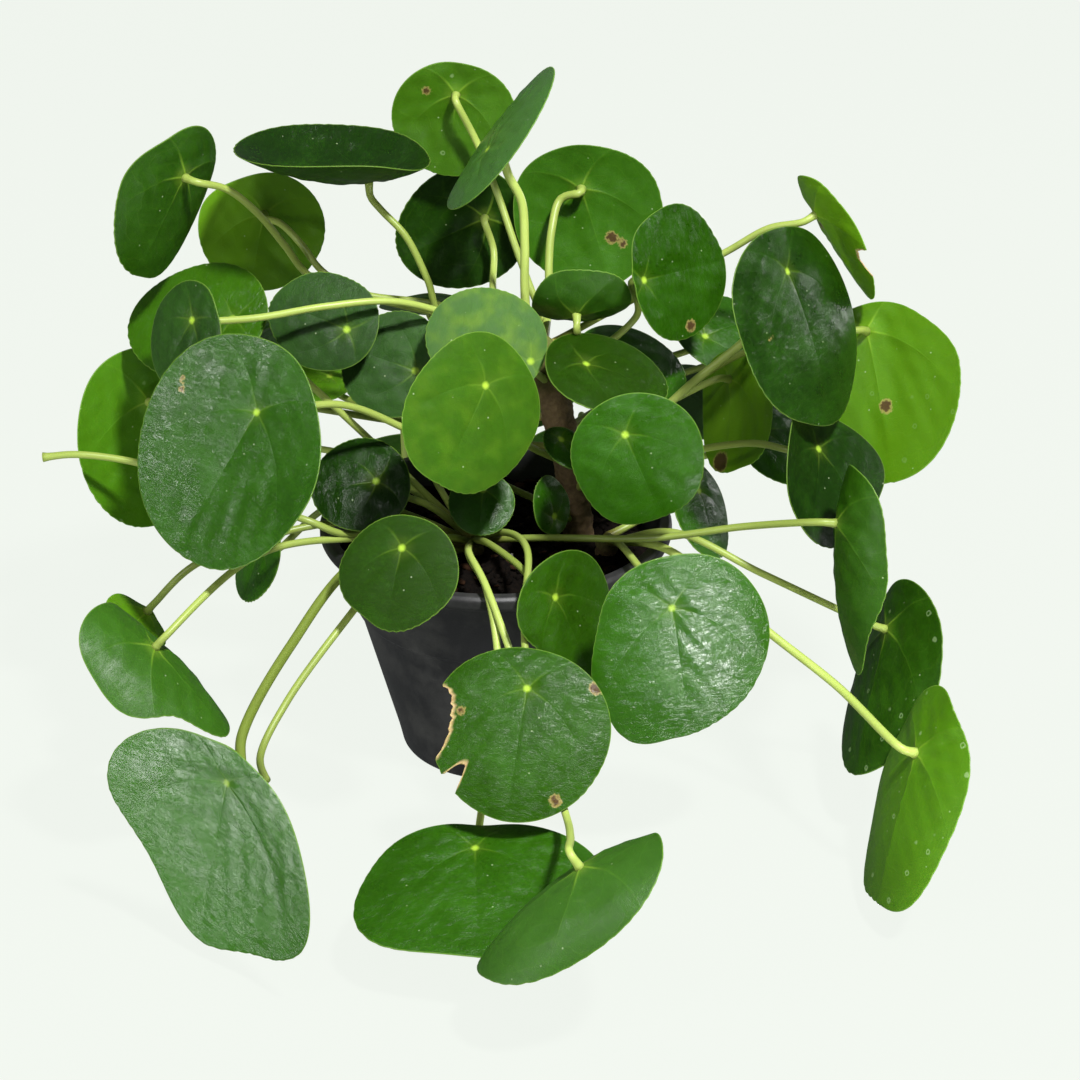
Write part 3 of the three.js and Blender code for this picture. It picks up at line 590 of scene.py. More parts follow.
def curled(x, y, along_rate, across_rate, offset):
    """A point of the curled blade: arcs along and across the midrib, and the offset square to the surface."""
    along, across = x * along_rate, y * across_rate
    flat_x = np.sinc(along / pi) * x
    flat_y = np.sinc(across / pi) * y
    fall = x * np.sinc(along / 2 / pi) * np.sin(along / 2) + y * np.sinc(across / 2 / pi) * np.sin(across / 2)
    normal = np.stack([np.tan(along), np.tan(across), np.ones_like(x)], -1)
    normal /= np.linalg.norm(normal, axis=-1, keepdims=True)
    return np.stack([flat_x, flat_y, -fall], -1) + offset[..., None] * normal


def leaf(row, number):
    """A closed blade: share times the rim outline from the navel outwards, on the upper and the lower face,
    raised by the relief, thinned to a round rim and curled, then placed by the leaf's axes."""
    name, navel, (length, width, behind), facing, (across, along) = row[:5]
    rng = np.random.default_rng(100 + number)
    count = SMALL_RIM_POINTS if max(length, width) < SMALL_BLADE else RIM_POINTS
    if name in BITES:
        count *= 2
    angle = full_turn(count)
    rim_x, rim_y, bite = rim_outline(name, length, width, behind, angle, rng)
    share = np.concatenate([np.linspace(0, EDGE_START, RINGS - len(EDGE_SHARES))[1:], EDGE_SHARES])[:, None]
    x, y = share * rim_x, share * rim_y
    reach = np.hypot(rim_x, rim_y).mean()
    height = relief(x, y, share, reach, rng)
    half = BLADE_THICKNESS / 2 * (1 - RIM_THINNING * share**6) * np.ones_like(x)
    rates = radians(along) / (length * (1 - behind)), radians(across) / (width / 2)
    upper = curled(x, y, *rates, height + half).reshape(-1, 3)
    lower = curled(x, y, *rates, height - half).reshape(-1, 3)
    middle = np.array([[0, 0, BLADE_THICKNESS / 2 - NAVEL_DIP], [0, 0, -BLADE_THICKNESS / 2 - NAVEL_DIP]])
    points = np.vstack([upper, lower, middle]) @ leaf_axes(*facing) + np.array(navel)
    rings = len(share)
    total = rings * count
    outer = total - count + np.arange(count)
    up = [grid_faces(rings, count, 0, flip=True), fan_faces(2 * total, np.arange(count))]
    down = [grid_faces(rings, count, total), fan_faces(2 * total + 1, total + np.arange(count), flip=True)]
    edge = np.stack([outer, outer + total, np.roll(outer, -1) + total, np.roll(outer, -1)], -1)
    blocks = [*up, *down, edge]
    sides = np.repeat([0, 0, 1, 1, 1], [len(block) for block in blocks])
    flat = np.vstack([np.stack([x, y], -1).reshape(-1, 2)] * 2 + [np.zeros((2, 2))])
    to_rim = ((1 - share) * np.hypot(rim_x, rim_y)).ravel()
    gnawed = (np.broadcast_to(bite, x.shape) * smooth_step(share, *GNAWED_SHARES)).ravel()
    look = dict(zip(LOOK_NAMES, LOOKS.get(name, PLAIN_LOOK)))
    gloss = look.pop("gloss")
    mark = np.full(len(flat), NO_MARK)
    for mark_x, mark_y, radius in MARKS.get(name, ()):
        mark = np.minimum(mark, np.hypot(flat[:, 0] - mark_x, flat[:, 1] - mark_y) - radius)
    values = {
        "reach": reach,
        "to_rim": np.concatenate([to_rim, to_rim, [reach, reach]]),
        "gnawed": np.concatenate([gnawed, gnawed, [0, 0]]),
        "mark": mark,
        **look,
    }
    piece(f"blade_{name}", points, blocks, leaf_skins(gloss), "leaf", [f"leaf_{name}"],
          sides, flat / FLAT_SIZE + 0.5, values)


# Stems and stalks

def stalk_surface(path, along, radius, sides, tone, cork):
    """A tube with what its material needs for each point: UV, share of the way along, tone and cork."""
    surface, faces, around, row = tube(path, radius, sides)
    uv = np.stack([around / (2 * pi), along[row] / 100], -1)
    return surface, faces, uv, along[row] / along[-1], np.full(len(row), tone), np.full(len(row), cork)


def petiole(points, tone, thickness=PETIOLE_RADIUS):
    """A slim stalk along the smooth path: thicker at its foot, flared where it meets the blade."""
    path, along = smooth_path(points, PETIOLE_STEP)
    to_end = along[-1] - along
    flare = FOOT_FLARE * np.exp(-along / FOOT_LENGTH) + TOP_FLARE * np.exp(-to_end / TOP_LENGTH)
    radius = thickness * (SLIMMEST + flare)
    return stalk_surface(path, along, radius[:, None], PETIOLE_SIDES, tone, 0.0)


def trunk(points, radius, rng):
    """A stout stem along the smooth path: swollen at each leaf scar, rough with corky bumps, and rounded on top."""
    path, along = smooth_path(points, TRUNK_STEP)
    angle = full_turn(TRUNK_SIDES)[None]
    t = along[:, None]
    swelling = SCAR_SWELL * np.maximum(0, np.sin(2 * pi * t / SCAR_PITCH + angle)) ** 3
    cork = CORK_HEIGHT * lattice_noise(t + 0 * angle, radius * angle, CORK_SIZE, rng)
    end = np.sqrt(np.clip((along[-1] - t) / radius, 0.02, 1))
    return stalk_surface(path, along, (radius - TRUNK_INSET + swelling + cork) * end, TRUNK_SIDES, 0.0, 1.0)


def stem(name):
    """One stem with all its stalks as one piece: the stalks start inside the stem and stop in their blades."""
    rng = np.random.default_rng(len(name))
    radius, points = STEMS[name]
    core = curve_points(points)
    parts = [trunk(points, radius, rng)]
    for row in LEAVES[name]:
        leaf_name, navel, _, facing, _, height, way = row
        normal = leaf_axes(*facing)[2]
        under = [np.array(navel) - d * normal for d in (NECK, NECK / 3, NAVEL_DIP)]
        start = core[round(height * (len(core) - 1))]
        tone = PETIOLE_TONES.get(leaf_name, rng.uniform(*PLAIN_TONES))
        parts.append(petiole([start, *way, *under], tone, PETIOLE_RADII.get(leaf_name, PETIOLE_RADIUS)))
    for stem_name, height, way in BARE_PETIOLES:
        if stem_name == name:
            parts.append(petiole([core[round(height * (len(core) - 1))], *way], BARE_TONE))
    points, blocks, uv, along, tone, cork = gathered(parts)
    piece(f"stem_{name}_with_stalks", points, blocks, [STALK], "stem", [f"stem_{name}"], None, uv,
          {"along": along, "tone": tone, "cork": cork})


# Pot and soil

def rounded(corners):
    """A profile of (radius, height, rounding) corners with each corner cut to a quadratic curve of that size."""
    c = np.asarray(corners, float)
    p, size = c[:, :2], c[:, 2:]
    before, after = np.roll(p, 1, 0) - p, np.roll(p, -1, 0) - p
    before /= np.maximum(np.linalg.norm(before, axis=1, keepdims=True), 1e-9)
    after /= np.maximum(np.linalg.norm(after, axis=1, keepdims=True), 1e-9)
    t = np.linspace(0, 1, CORNER_STEPS)[None, :, None]
    start, end = (p + before * size)[:, None], (p + after * size)[:, None]
    return ((1 - t) ** 2 * start + 2 * t * (1 - t) * p[:, None] + t**2 * end).reshape(-1, 2)


def turned(profile, segments):
    """The profile carried round the Z axis as (r cos a, r sin a, z), with each end closed by a fan on the axis.
    It runs from the axis outside and upwards, and back inside."""
    angle = full_turn(segments)
    r, z = profile[:, :1], profile[:, 1:]
    points = np.stack([r * np.cos(angle), r * np.sin(angle), z + 0 * angle], -1).reshape(-1, 3)
    points = np.vstack([points, [0, 0, profile[0, 1]], [0, 0, profile[-1, 1]]])
    return points, closed_faces(len(profile), segments)


def pot():
    """The shell's section, rounded at its corners and turned about Z, with drain holes cut through its floor."""
    profile = rounded([
        (0, 0, 0),
        (FOOT_RADIUS, 0, 0.5),
        (CORNER_RADIUS - FOOT_ROUND, FOOT_ROUND, 1.5),
        (CORNER_RADIUS, CORNER_Z, 3.0),
        (STEP_RADIUS - STEP_DEPTH, STEP_Z - 1, 0.4),
        (STEP_RADIUS, STEP_Z, 0.4),
        (RIM_RADIUS - LIP_WIDTH, POT_HEIGHT - LIP_DROP, 0.5),
        (RIM_RADIUS - 0.6, POT_HEIGHT - LIP_DROP, 0.3),
        (RIM_RADIUS, POT_HEIGHT - LIP_DROP + LIP_ROUND, 0.5),
        (RIM_RADIUS, POT_HEIGHT - LIP_ROUND, 0.6),
        (RIM_RADIUS - LIP_ROUND, POT_HEIGHT, 0.5),
        (RIM_RADIUS - LIP_WIDTH, POT_HEIGHT, 0.5),
        (RIM_RADIUS - LIP_WIDTH - WALL, POT_HEIGHT - LIP_DROP, 0.6),
        (STEP_RADIUS - WALL, STEP_Z, 0.4),
        (STEP_RADIUS - STEP_DEPTH - WALL, STEP_Z - 1, 0.4),
        (CORNER_RADIUS - WALL, CORNER_Z, 2.0),
        (FOOT_RADIUS, FLOOR, 1.0),
        (0, FLOOR, 0),
    ])[CORNER_STEPS:-CORNER_STEPS]
    made = piece("nursery_pot", *turned(profile, POT_SEGMENTS), [POT_PLASTIC], "pot", ["pot"])
    drains = []
    for k in range(DRAIN_COUNT):
        angle = 2 * pi * (k + 0.5) / DRAIN_COUNT
        x, y = DRAIN_CIRCLE * np.cos(angle), DRAIN_CIRCLE * np.sin(angle)
        path = np.array([[x, y, -FLOOR], [x, y, FLOOR / 2], [x, y, 2 * FLOOR]])
        drains.append(tube(path, DRAIN_RADIUS, DRAIN_SIDES)[:2])
    cutter = bpy.data.objects.new("drains", bare_mesh("drains", *gathered(drains)))
    bpy.context.scene.collection.objects.link(cutter)
    holes = made.modifiers.new("holes", "BOOLEAN")
    holes.object = cutter
    bpy.context.view_layer.update()
    solid = made.evaluated_get(bpy.context.evaluated_depsgraph_get())
    made.data = bpy.data.meshes.new_from_object(solid)
    made.modifiers.remove(holes)
    bpy.data.objects.remove(cutter)


def soil_height(x, y, rng):
    """The CAD soil's mound and two slow sines, with clods of three sizes of random hills on top."""
    share = np.hypot(x, y) / SOIL_EDGE
    height = SOIL_Z + SOIL_MOUND * (1 - share**2)
    height += SOIL_LUMP * (np.sin(0.45 * x + 1) + np.sin(0.5 * y - 0.3 * x))
    for size, lift in CLODS:
        hills = lattice_noise(x + CLOD_SHIFT, y + CLOD_SHIFT, size, rng)
        height += lift * hills * smooth_step(-share, -1.0, -0.93)
    return height


def soil():
    """A disc of soil: the clods on top as a polar grid, and below it the pot's inside turned about Z."""
    rng = np.random.default_rng(SOIL_SEED)
    gap = WALL + SOIL_CLEARANCE
    inner = np.array([
        [FOOT_RADIUS - SOIL_CLEARANCE, FLOOR + SOIL_CLEARANCE],
        [CORNER_RADIUS - gap, CORNER_Z],
        [STEP_RADIUS - STEP_DEPTH - gap, STEP_Z - 1],
        [STEP_RADIUS - gap, STEP_Z + 0.2],
    ])
    share = np.linspace(1, 0, SOIL_RINGS, endpoint=False)
    top = np.stack([SOIL_EDGE * share, np.full_like(share, SOIL_Z)], -1)
    points, blocks = turned(np.vstack([inner, top]), SOIL_SEGMENTS)
    upper = points[:, 2] >= SOIL_Z - 0.01
    points[upper, 2] = soil_height(points[upper, 0], points[upper, 1], rng)
    edge = upper & (np.hypot(points[:, 0], points[:, 1]) > SOIL_EDGE - 0.01)
    points[edge, 2] -= SOIL_SINK
    piece("potting_soil", points, blocks, [PEAT], "soil", ["soil"])


def crumb_mesh():
    """A rough lump: the twelve corners and twenty faces of an icosahedron."""
    g = (1 + 5**0.5) / 2
    corners = [(-1, g, 0), (1, g, 0), (-1, -g, 0), (1, -g, 0), (0, -1, g), (0, 1, g),
               (0, -1, -g), (0, 1, -g), (g, 0, -1), (g, 0, 1), (-g, 0, -1), (-g, 0, 1)]
    faces = [(0, 11, 5), (0, 5, 1), (0, 1, 7), (0, 7, 10), (0, 10, 11), (1, 5, 9), (5, 11, 4), (11, 10, 2),
             (10, 7, 6), (7, 1, 8), (3, 9, 4), (3, 4, 2), (3, 2, 6), (3, 6, 8), (3, 8, 9), (4, 9, 5),
             (2, 4, 11), (6, 2, 10), (8, 6, 7), (9, 8, 1)]
    return np.array(corners) / np.hypot(1, g), np.array(faces)


def crumbs(name, count, sizes, flatness, material, seed):
    """Loose bits on the soil: copies of the rough lump, each stretched, squashed and turned at random."""
    rng = np.random.default_rng(seed)
    corners, faces = crumb_mesh()
    r = (SOIL_EDGE - 2.5) * np.sqrt(rng.uniform(0, 1, count))
    a = rng.uniform(0, 2 * pi, count)
    x, y = r * np.cos(a), r * np.sin(a)
    z = soil_height(x, y, np.random.default_rng(SOIL_SEED))
    size = rng.uniform(*sizes, count)
    stretch = np.stack([rng.uniform(0.8, 1.6, count), rng.uniform(0.7, 1.1, count), np.full(count, flatness)], -1)
    lumps = corners[None] * (stretch * size[:, None])[:, None] * rng.uniform(0.8, 1.2, (count, 12, 1))
    spin, tip = rng.uniform(0, 2 * pi, count)[:, None], rng.uniform(-0.5, 0.5, count)[:, None]
    u, v, w = lumps[..., 0], lumps[..., 1], lumps[..., 2]
    u, w = u * np.cos(tip) + w * np.sin(tip), w * np.cos(tip) - u * np.sin(tip)
    u, v = u * np.cos(spin) - v * np.sin(spin), u * np.sin(spin) + v * np.cos(spin)
    points = np.stack([u, v, w], -1) + np.stack([x, y, z + 0.2 * size], -1)[:, None]
    every = (faces[None] + 12 * np.arange(count)[:, None, None]).reshape(-1, 3)
    piece(name, points.reshape(-1, 3), [every], [material], "soil", [])


# Materials

def linear(text):
    """The linear RGBA value of an sRGB hex colour."""
    c = np.array([int(text[i:i + 2], 16) for i in (1, 3, 5)]) / 255
    c = np.where(c <= 0.04045, c / 12.92, ((c + 0.055) / 1.055) ** 2.4)
    return (*c.tolist(), 1.0)


def node(tree, kind, *inputs, **settings):
    """Adds one shader node of a kind, with its operation as a second word, and gives or links its inputs, which
    come in the order of its sockets or as a dict of names. Returns its outputs."""
    kind, *operation = kind.split()
    made = tree.nodes.new("ShaderNode" + kind)
    for word in operation:
        made.operation = word
    for key, value in settings.items():
        setattr(made, key, value)
    named = inputs[0] if inputs and isinstance(inputs[0], dict) else dict(enumerate(inputs))
    for key, value in named.items():
        if isinstance(value, bpy.types.NodeSocket):
            tree.links.new(value, made.inputs[key])
        else:
            made.inputs[key].default_value = value
    return made.outputs


def new_material(name):
    """An empty node material, and the function that adds a node to it."""
    made = bpy.data.materials.new(name)
    made.use_nodes = True
    made.node_tree.nodes.clear()
    return made, partial(node, made.node_tree)


def leaf_veins(add):
    """The flat leaf in millimetres from its navel, and masks of its main veins and of the fine ones that branch
    off them: the same warped angle as vein_distance, folded about each vein."""
    uv = add("UVMap", uv_map="flat")["UV"]
    flat = add("VectorMath MULTIPLY_ADD", uv, (FLAT_SIZE, FLAT_SIZE, 0),
               (-FLAT_SIZE / 2, -FLAT_SIZE / 2, 0))["Vector"]
    parts = add("SeparateXYZ", flat)
    r = add("VectorMath LENGTH", flat)["Value"]
    phi = add("Math ARCTAN2", parts["Y"], parts["X"])[0]
    reach = add("Attribute", attribute_name="reach")["Fac"]
    out = add("Math DIVIDE", r, reach)[0]
    sine = add("Math SINE", phi)[0]
    bend = add("Math MULTIPLY", out, sine)[0]
    warped = add("Math MULTIPLY_ADD", bend, VEIN_BEND, phi)[0]
    cells = add("Math MULTIPLY", warped, VEINS / (2 * pi))[0]
    fold = add("Math PINGPONG", cells, 0.5)[0]
    arc = add("Math MULTIPLY", fold, r)[0]
    distance = add("Math MULTIPLY", arc, 2 * pi / VEINS)[0]
    taper = add("MapRange", out, 0.0, 1.0, 0.8, 0.3)[0]
    main = add("MapRange", distance, 0.0, taper, 1.0, 0.0, interpolation_type="SMOOTHSTEP")[0]
    fade = add("MapRange", out, 0.35, 1.0, 1.0, 0.15)[0]
    main = add("Math MULTIPLY", main, fade)[0]
    stray = add("TexNoise", {"Vector": flat, "Scale": 0.16, "Detail": 2.0})[0]
    lean = add("Math MULTIPLY_ADD", fold, -1.7, stray)[0]
    ladder = add("Math MULTIPLY_ADD", r, 1 / BRANCH_PITCH, lean)[0]
    rung = add("Math PINGPONG", ladder, 0.5)[0]
    fine = add("MapRange", rung, 0.01, 0.09, 1.0, 0.0, interpolation_type="SMOOTHSTEP")[0]
    return flat, r, main, fine


def leaf_material(name, dark, light, lime_and_backlight, vein, vein_show, star, roughness, wrinkle, groove, gloss):
    """Living leaf skin. Slow mottling from dark to light, moved too by each blade's light amount, which is partly
    painted light and shade; yellow and grey tints that are partly painted backlight and sheen; a yellow navel from
    which the veins start pale, a pale margin, mineral specks, brown scars and gnawed edges. Veins and a net of
    short wrinkles move the surface."""
    made, add = new_material(name)
    flat, r, main, fine = leaf_veins(add)
    amount = {key: add("Attribute", attribute_name=key)["Fac"]
              for key in ("light", "lime_and_backlight", "grey", "blotches", "matt", "rings", "to_rim", "gnawed", "mark")}

    # Mottling about 17 mm wide and grain of 1.4 mm move the green from dark to light, and clouds are 8 mm wide.
    # On the flat leaf, a scale is one over a size in millimetres.
    slow = add("TexNoise", {"Vector": flat, "Scale": 0.06, "Detail": 4.0, "Roughness": 0.6})[0]
    mottle = add("TexNoise", {"Vector": flat, "Scale": 0.7, "Detail": 3.0})[0]
    # Each blade's light amount moves the green as well: partly the blade's own tone, partly painted light and shade
    # for how brightly the blade is lit.
    shade = add("Math MULTIPLY_ADD", slow, 0.7, amount["light"])[0]
    shade = add("Math MULTIPLY_ADD", mottle, 0.3, shade)[0]
    shade = add("Math SUBTRACT", shade, 0.5, use_clamp=True)[0]
    cloud = add("TexNoise", {"Vector": flat, "Scale": 0.13, "Detail": 2.0, "Roughness": 0.4})[0]
    cloud = add("MapRange", cloud, 0.42, 0.72, interpolation_type="SMOOTHSTEP")[0]
    cloud = add("Math MULTIPLY", cloud, amount["blotches"])[0]

    # Veins show a little all along, and start as pale rays in a haze round the bright dot of the navel
    branch = add("Math MULTIPLY", fine, 0.3)[0]
    veins = add("Math MAXIMUM", main, branch)[0]
    shown = add("Math MULTIPLY", veins, vein_show)[0]
    ray_fade = add("MapRange", r, 1.5, 9.0, star, 0.0)[0]
    rays = add("Math MULTIPLY", main, ray_fade)[0]
    haze = add("MapRange", r, 0.0, 6.0, star / 2, 0.0, interpolation_type="SMOOTHERSTEP")[0]
    dot = add("MapRange", r, 0.2, NAVEL_GLOW, 0.85, 0.0, interpolation_type="SMOOTHERSTEP")[0]
    glow = add("Math MAXIMUM", rays, dot)[0]
    glow = add("Math MAXIMUM", glow, haze, use_clamp=True)[0]

    # Mineral specks in some cells of a 4.5 mm net, and thin rings of 1.5 to 4 mm in some cells of a 7 mm net
    cells = add("TexVoronoi", {"Vector": flat, "Scale": 0.22, "Randomness": 1.0})
    chance = add("SeparateColor", cells["Color"])["Red"]
    chosen = add("Math GREATER_THAN", chance, 0.7)[0]
    speck = add("MapRange", cells["Distance"], 0.03, 0.08, 0.4, 0.0)[0]
    speck = add("Math MULTIPLY", speck, chosen)[0]
    wobble = add("TexNoise", {"Vector": flat, "Scale": 0.3, "Detail": 2.0})["Color"]
    wobble = add("VectorMath MULTIPLY_ADD", wobble, (1.6, 1.6, 0), flat)["Vector"]
    wide = add("TexVoronoi", {"Vector": wobble, "Scale": 0.15, "Randomness": 0.65})
    chance = add("SeparateColor", wide["Color"])
    chosen = add("Math GREATER_THAN", chance["Green"], 0.45)[0]
    size = add("MapRange", chance["Blue"], 0.0, 1.0, 0.1, 0.3)[0]
    band = add("Math SUBTRACT", wide["Distance"], size)[0]
    band = add("Math ABSOLUTE", band)[0]
    band = add("MapRange", band, 0.0, 0.06, 0.4, 0.0, interpolation_type="SMOOTHSTEP")[0]
    band = add("Math MULTIPLY", band, amount["rings"])[0]
    ring = add("Math MULTIPLY", band, chosen)[0]

    # Brown scars with tan halos and ragged edges, and a pale margin half a millimetre wide
    ragged = add("TexNoise", {"Vector": flat, "Scale": 1.1, "Detail": 3.0})[0]
    away = add("Math MULTIPLY_ADD", ragged, 2.0, amount["mark"])[0]
    halo = add("MapRange", away, 1.2, 1.7, 0.55, 0.0)[0]
    scar = add("MapRange", away, 0.6, 1.3, 0.9, 0.0)[0]
    margin = add("MapRange", amount["to_rim"], 0.05, 0.45, 0.45, 0.0, interpolation_type="SMOOTHSTEP")[0]
    torn = add("Mix", {"Factor": mottle, "A": linear(TORN_DARK), "B": linear(TORN_LIGHT)},
               data_type="RGBA")["Result"]

    colour = linear(dark)
    for factor, top in (
        # Painted light and shade: the shade factor carries each blade's light amount, partly painted for how
        # brightly the blade is lit.
        (shade, linear(light)),
        # Painted backlight: the lime tint is partly a blade's own yellowish green and partly painted light shining
        # through back-lit blades.
        (amount["lime_and_backlight"], linear(lime_and_backlight)),
        # Painted sheen: the grey tint is partly a blade's own grey green and partly painted sheen of reflected
        # light.
        (amount["grey"], linear(GREY_GREEN_AND_SHEEN)),
        (cloud, linear(PALE_CLOUD)),
        (shown, linear(vein)),
        (glow, linear(NAVEL_YELLOW)),
        (speck, linear(MINERAL_SPECK)),
        (ring, linear(MINERAL_RING)),
        (halo, linear(SCAR_HALO)),
        (scar, linear(SCAR_BROWN)),
        (margin, linear(PALE_MARGIN)),
        (amount["gnawed"], torn),
    ):
        colour = add("Mix", {"Factor": factor, "A": colour, "B": top}, data_type="RGBA")["Result"]

    # Wrinkles 1 to 2 mm apart: folded levels of a stretched noise, so that they run in short wavy lines
    stretched = add("Mapping", {"Vector": flat, "Scale": (1.0, 0.42, 1.0)})[0]
    swirl = add("TexNoise", {"Vector": stretched, "Scale": 0.5, "Detail": 3.0, "Roughness": 0.55,
                "Distortion": 1.6})[0]
    levels = add("Math MULTIPLY", swirl, 9.0)[0]
    pleat = add("Math PINGPONG", levels, 0.5)[0]
    gain = add("MapRange", slow, 0.35, 0.65, 0.5, 1.3)[0]
    pleat = add("Math MULTIPLY", pleat, gain)[0]
    height = add("Math MULTIPLY_ADD", mottle, 0.25, pleat)[0]
    height = add("Math MULTIPLY", height, wrinkle)[0]
    height = add("Math MULTIPLY_ADD", veins, groove, height)[0]
    bump = add("Bump", {"Strength": 1.0, "Distance": MM, "Height": height})[0]
    rough = add("MapRange", slow, 0.3, 0.7, roughness - 0.06, roughness + 0.08)[0]
    rough = add("Math ADD", rough, amount["matt"], use_clamp=True)[0]
    shader = add("BsdfPrincipled", {
        "Base Color": colour, "Roughness": rough, "Normal": bump, "IOR": 1.47,
        "Specular IOR Level": gloss, "Subsurface Weight": 0.25,
        "Subsurface Radius": (0.5, 1.0, 0.15), "Subsurface Scale": 0.8 * MM,
    })[0]
    add("OutputMaterial", shader)
    return made


@cache
def leaf_skins(gloss):
    """The upper and the lower skin of a blade with this gloss, made once for each gloss: it is the same all over a
    blade, so that it is set on the shader itself."""
    grade = round(gloss * 100)
    return [
        leaf_material(f"glossy_upper_leaf_skin_{grade}", dark="#102a02", light="#366f08", lime_and_backlight="#4f7d12",
                      vein="#4d8024", vein_show=0.05, star=0.12, roughness=0.3, wrinkle=0.08,
                      groove=-GROOVE_BUMP, gloss=gloss),
        leaf_material(f"matt_leaf_underside_{grade}", dark="#163402", light="#376a08", lime_and_backlight="#5f8e0e",
                      vein="#6f9a2c", vein_show=0.1, star=0.3, roughness=0.4, wrinkle=0.05,
                      groove=GROOVE_BUMP, gloss=gloss),
    ]


def stalk_material():
    """Petiole skin and cork. A stalk is yellow-green with fine lengthwise streaks, and pinkish brown at its foot;
    the old stem is grey-brown cork."""
    made, add = new_material("petiole_skin_and_cork")
    uv = add("UVMap", uv_map="flat")["UV"]
    amount = {key: add("Attribute", attribute_name=key)["Fac"] for key in ("along", "tone", "cork")}
    streak_map = add("Mapping", {"Vector": uv, "Scale": (3.0, 3.0, 1.0)})[0]
    streaks = add("TexNoise", {"Vector": streak_map, "Scale": 1.0, "Detail": 1.0})[0]
    lit = add("Math MULTIPLY_ADD", streaks, 0.3, amount["tone"])[0]
    lit = add("Math SUBTRACT", lit, 0.15, use_clamp=True)[0]
    green = add("Mix", {"Factor": lit, "A": linear(STALK_SHADE), "B": linear(STALK_LIGHT)},
                data_type="RGBA")["Result"]
    foot = add("MapRange", amount["along"], 0.0, 0.16, 0.6, 0.0)[0]
    skin = add("Mix", {"Factor": foot, "A": green, "B": linear(STALK_FOOT)}, data_type="RGBA")["Result"]
    place = add("TexCoord")["Object"]
    # Cork grain of 2.4 mm
    bark = add("TexNoise", {"Vector": place, "Scale": 420.0, "Detail": 5.0, "Roughness": 0.7})[0]
    cork = add("Mix", {"Factor": bark, "A": linear(CORK_DARK), "B": linear(CORK_LIGHT)},
               data_type="RGBA")["Result"]
    young = add("MapRange", amount["along"], 0.8, 1.0, 1.0, 0.25)[0]
    woody = add("Math MULTIPLY", amount["cork"], young)[0]
    colour = add("Mix", {"Factor": woody, "A": skin, "B": cork}, data_type="RGBA")["Result"]
    rough = add("MapRange", amount["cork"], 0.0, 1.0, 0.38, 0.85)[0]
    rise = add("Math MULTIPLY", bark, amount["cork"])[0]
    rise = add("Math MULTIPLY_ADD", streaks, 0.03, rise)[0]
    bump = add("Bump", {"Strength": 0.7, "Distance": MM, "Height": rise})[0]
    shader = add("BsdfPrincipled", {
        "Base Color": colour, "Roughness": rough, "Normal": bump, "IOR": 1.42,
        "Subsurface Weight": 0.2, "Subsurface Radius": (0.8, 1.0, 0.3), "Subsurface Scale": MM,
    })[0]
    add("OutputMaterial", shader)
    return made


def grainy_material(name, dark, light, grain, roughness, lift):
    """Matt crumbling stuff: two colours mixed by noise with a grain in millimetres, which also roughens it."""
    made, add = new_material(name)
    place = add("TexCoord")["Object"]
    noise = add("TexNoise", {"Vector": place, "Scale": 1000 / grain, "Detail": 6.0, "Roughness": 0.7})[0]
    spread = add("MapRange", noise, 0.35, 0.68)[0]
    colour = add("Mix", {"Factor": spread, "A": linear(dark), "B": linear(light)}, data_type="RGBA")["Result"]
    bump = add("Bump", {"Strength": 1.0, "Distance": MM * lift, "Height": noise})[0]
    shader = add("BsdfPrincipled", {
        "Base Color": colour, "Roughness": roughness, "Normal": bump, "Specular IOR Level": 0.1,
    })[0]
    add("OutputMaterial", shader)
    return made


def pot_material():
    """Injection-moulded black polypropylene: a satin skin with a faint grain, thin dust that greys it, and two
    mould seams down its sides."""
    made, add = new_material("moulded_black_polypropylene")
    place = add("TexCoord")["Object"]
    # Dust in patches of 26 mm, a moulded grain of 0.6 mm, and seams 0.5 mm wide
    dust = add("TexNoise", {"Vector": place, "Scale": 38.0, "Detail": 6.0, "Roughness": 0.65})[0]
    dusty = add("MapRange", dust, 0.42, 0.75)[0]
    colour = add("Mix", {"Factor": dusty, "A": linear("#202022"), "B": linear("#454443")},
                 data_type="RGBA")["Result"]
    rough = add("MapRange", dust, 0.3, 0.7, 0.38, 0.56)[0]
    grain = add("TexNoise", {"Vector": place, "Scale": 1600.0, "Detail": 2.0})[0]
    turned_to_seam = add("Mapping", {"Vector": place, "Rotation": (0, 0, SEAM_TURN)})[0]
    across = add("SeparateXYZ", turned_to_seam)["X"]
    across = add("Math ABSOLUTE", across)[0]
    seam = add("MapRange", across, 0.1 * MM, 0.45 * MM, 2.5, 0.0)[0]
    height = add("Math MULTIPLY_ADD", grain, 0.6, seam)[0]
    bump = add("Bump", {"Strength": 0.5, "Distance": 0.1 * MM, "Height": height})[0]
    shader = add("BsdfPrincipled", {"Base Color": colour, "Roughness": rough, "Normal": bump, "IOR": 1.49})[0]
    add("OutputMaterial", shader)
    return made


def floor_material():
    """A pale matt studio sweep that glows a little, as one lit from all round does."""
    made, add = new_material("pale_studio_floor")
    shader = add("BsdfPrincipled", {
        "Base Color": linear(FLOOR_TINT), "Roughness": 1.0, "Specular IOR Level": 0.0,
        "Emission Color": linear(FLOOR_COLOUR), "Emission Strength": FLOOR_GLOW,
    })[0]
    add("OutputMaterial", shader)
    return made


# Studio

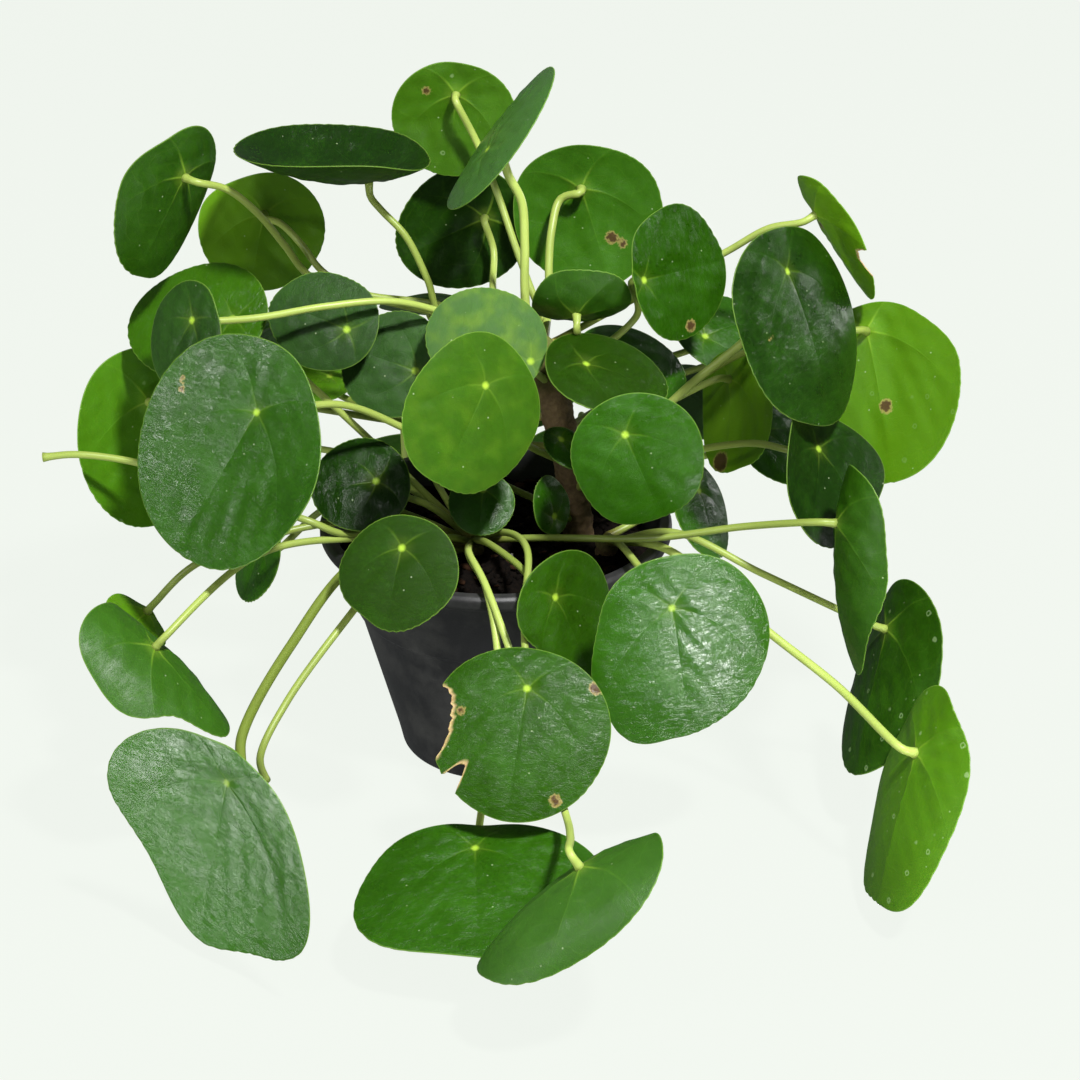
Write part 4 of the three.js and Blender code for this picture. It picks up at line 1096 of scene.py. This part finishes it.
def studio():
    """A pale floor, soft light from all round, a key light at the upper right, small panels that make the sheens,
    and the photograph's camera."""
    scene = bpy.context.scene
    scene.view_settings.view_transform = "Standard"
    world = bpy.data.worlds.new("soft_white_room")
    scene.world = world
    world.use_nodes = True
    world.node_tree.nodes["Background"].inputs["Color"].default_value = linear(ROOM_COLOUR)
    world.node_tree.nodes["Background"].inputs["Strength"].default_value = ROOM_STRENGTH
    mesh = bpy.data.meshes.new("floor")
    half = FLOOR_HALF
    mesh.from_pydata([(-half, -half, 0), (half, -half, 0), (half, half, 0), (-half, half, 0)], [], [(0, 1, 2, 3)])
    mesh.materials.append(floor_material())
    floor = bpy.data.objects.new("floor", mesh)
    floor.location.z = -FLOOR_DROP
    scene.collection.objects.link(floor)
    floor.visible_glossy = False
    for name, place, aim, size, power in LAMPS:
        lamp = bpy.data.lights.new(name, "AREA")
        lamp.shape = "DISK"
        lamp.size = size
        lamp.energy = power
        holder = bpy.data.objects.new(name, lamp)
        holder.location = place
        holder.rotation_euler = (Vector(aim) - Vector(place)).to_track_quat("-Z", "Y").to_euler()
        holder.visible_camera = False
        scene.collection.objects.link(holder)
    camera = bpy.data.objects.new("camera", bpy.data.cameras.new("camera"))
    camera.data.lens = CAMERA_LENS
    camera.location = CAMERA_PLACE
    camera.rotation_euler = (radians(CAMERA_PITCH), 0, 0)
    scene.collection.objects.link(camera)
    scene.camera = camera


# Making the plant

STALK = stalk_material()
PEAT = grainy_material("peat_potting_soil", "#040302", "#150e09", 1.4, 0.95, 0.8)
BARK_CHIP = grainy_material("pine_bark_chips", "#160d07", "#3c2616", 2.5, 0.9, 0.4)
PERLITE = grainy_material("perlite_grit", "#8d8a80", "#cfccc2", 0.8, 0.9, 0.3)
POT_PLASTIC = pot_material()

studio()
pot()
soil()
crumbs("soil_crumbs", 700, (0.5, 1.5), 0.8, PEAT, 11)
crumbs("bark_chips", 70, (1.0, 2.8), 0.35, BARK_CHIP, 12)
crumbs("perlite", 7, (0.4, 0.8), 0.9, PERLITE, 13)
for stem_name, rows in LEAVES.items():
    stem(stem_name)
    for number, row in enumerate(rows):
        leaf(row, number + 50 * len(stem_name))
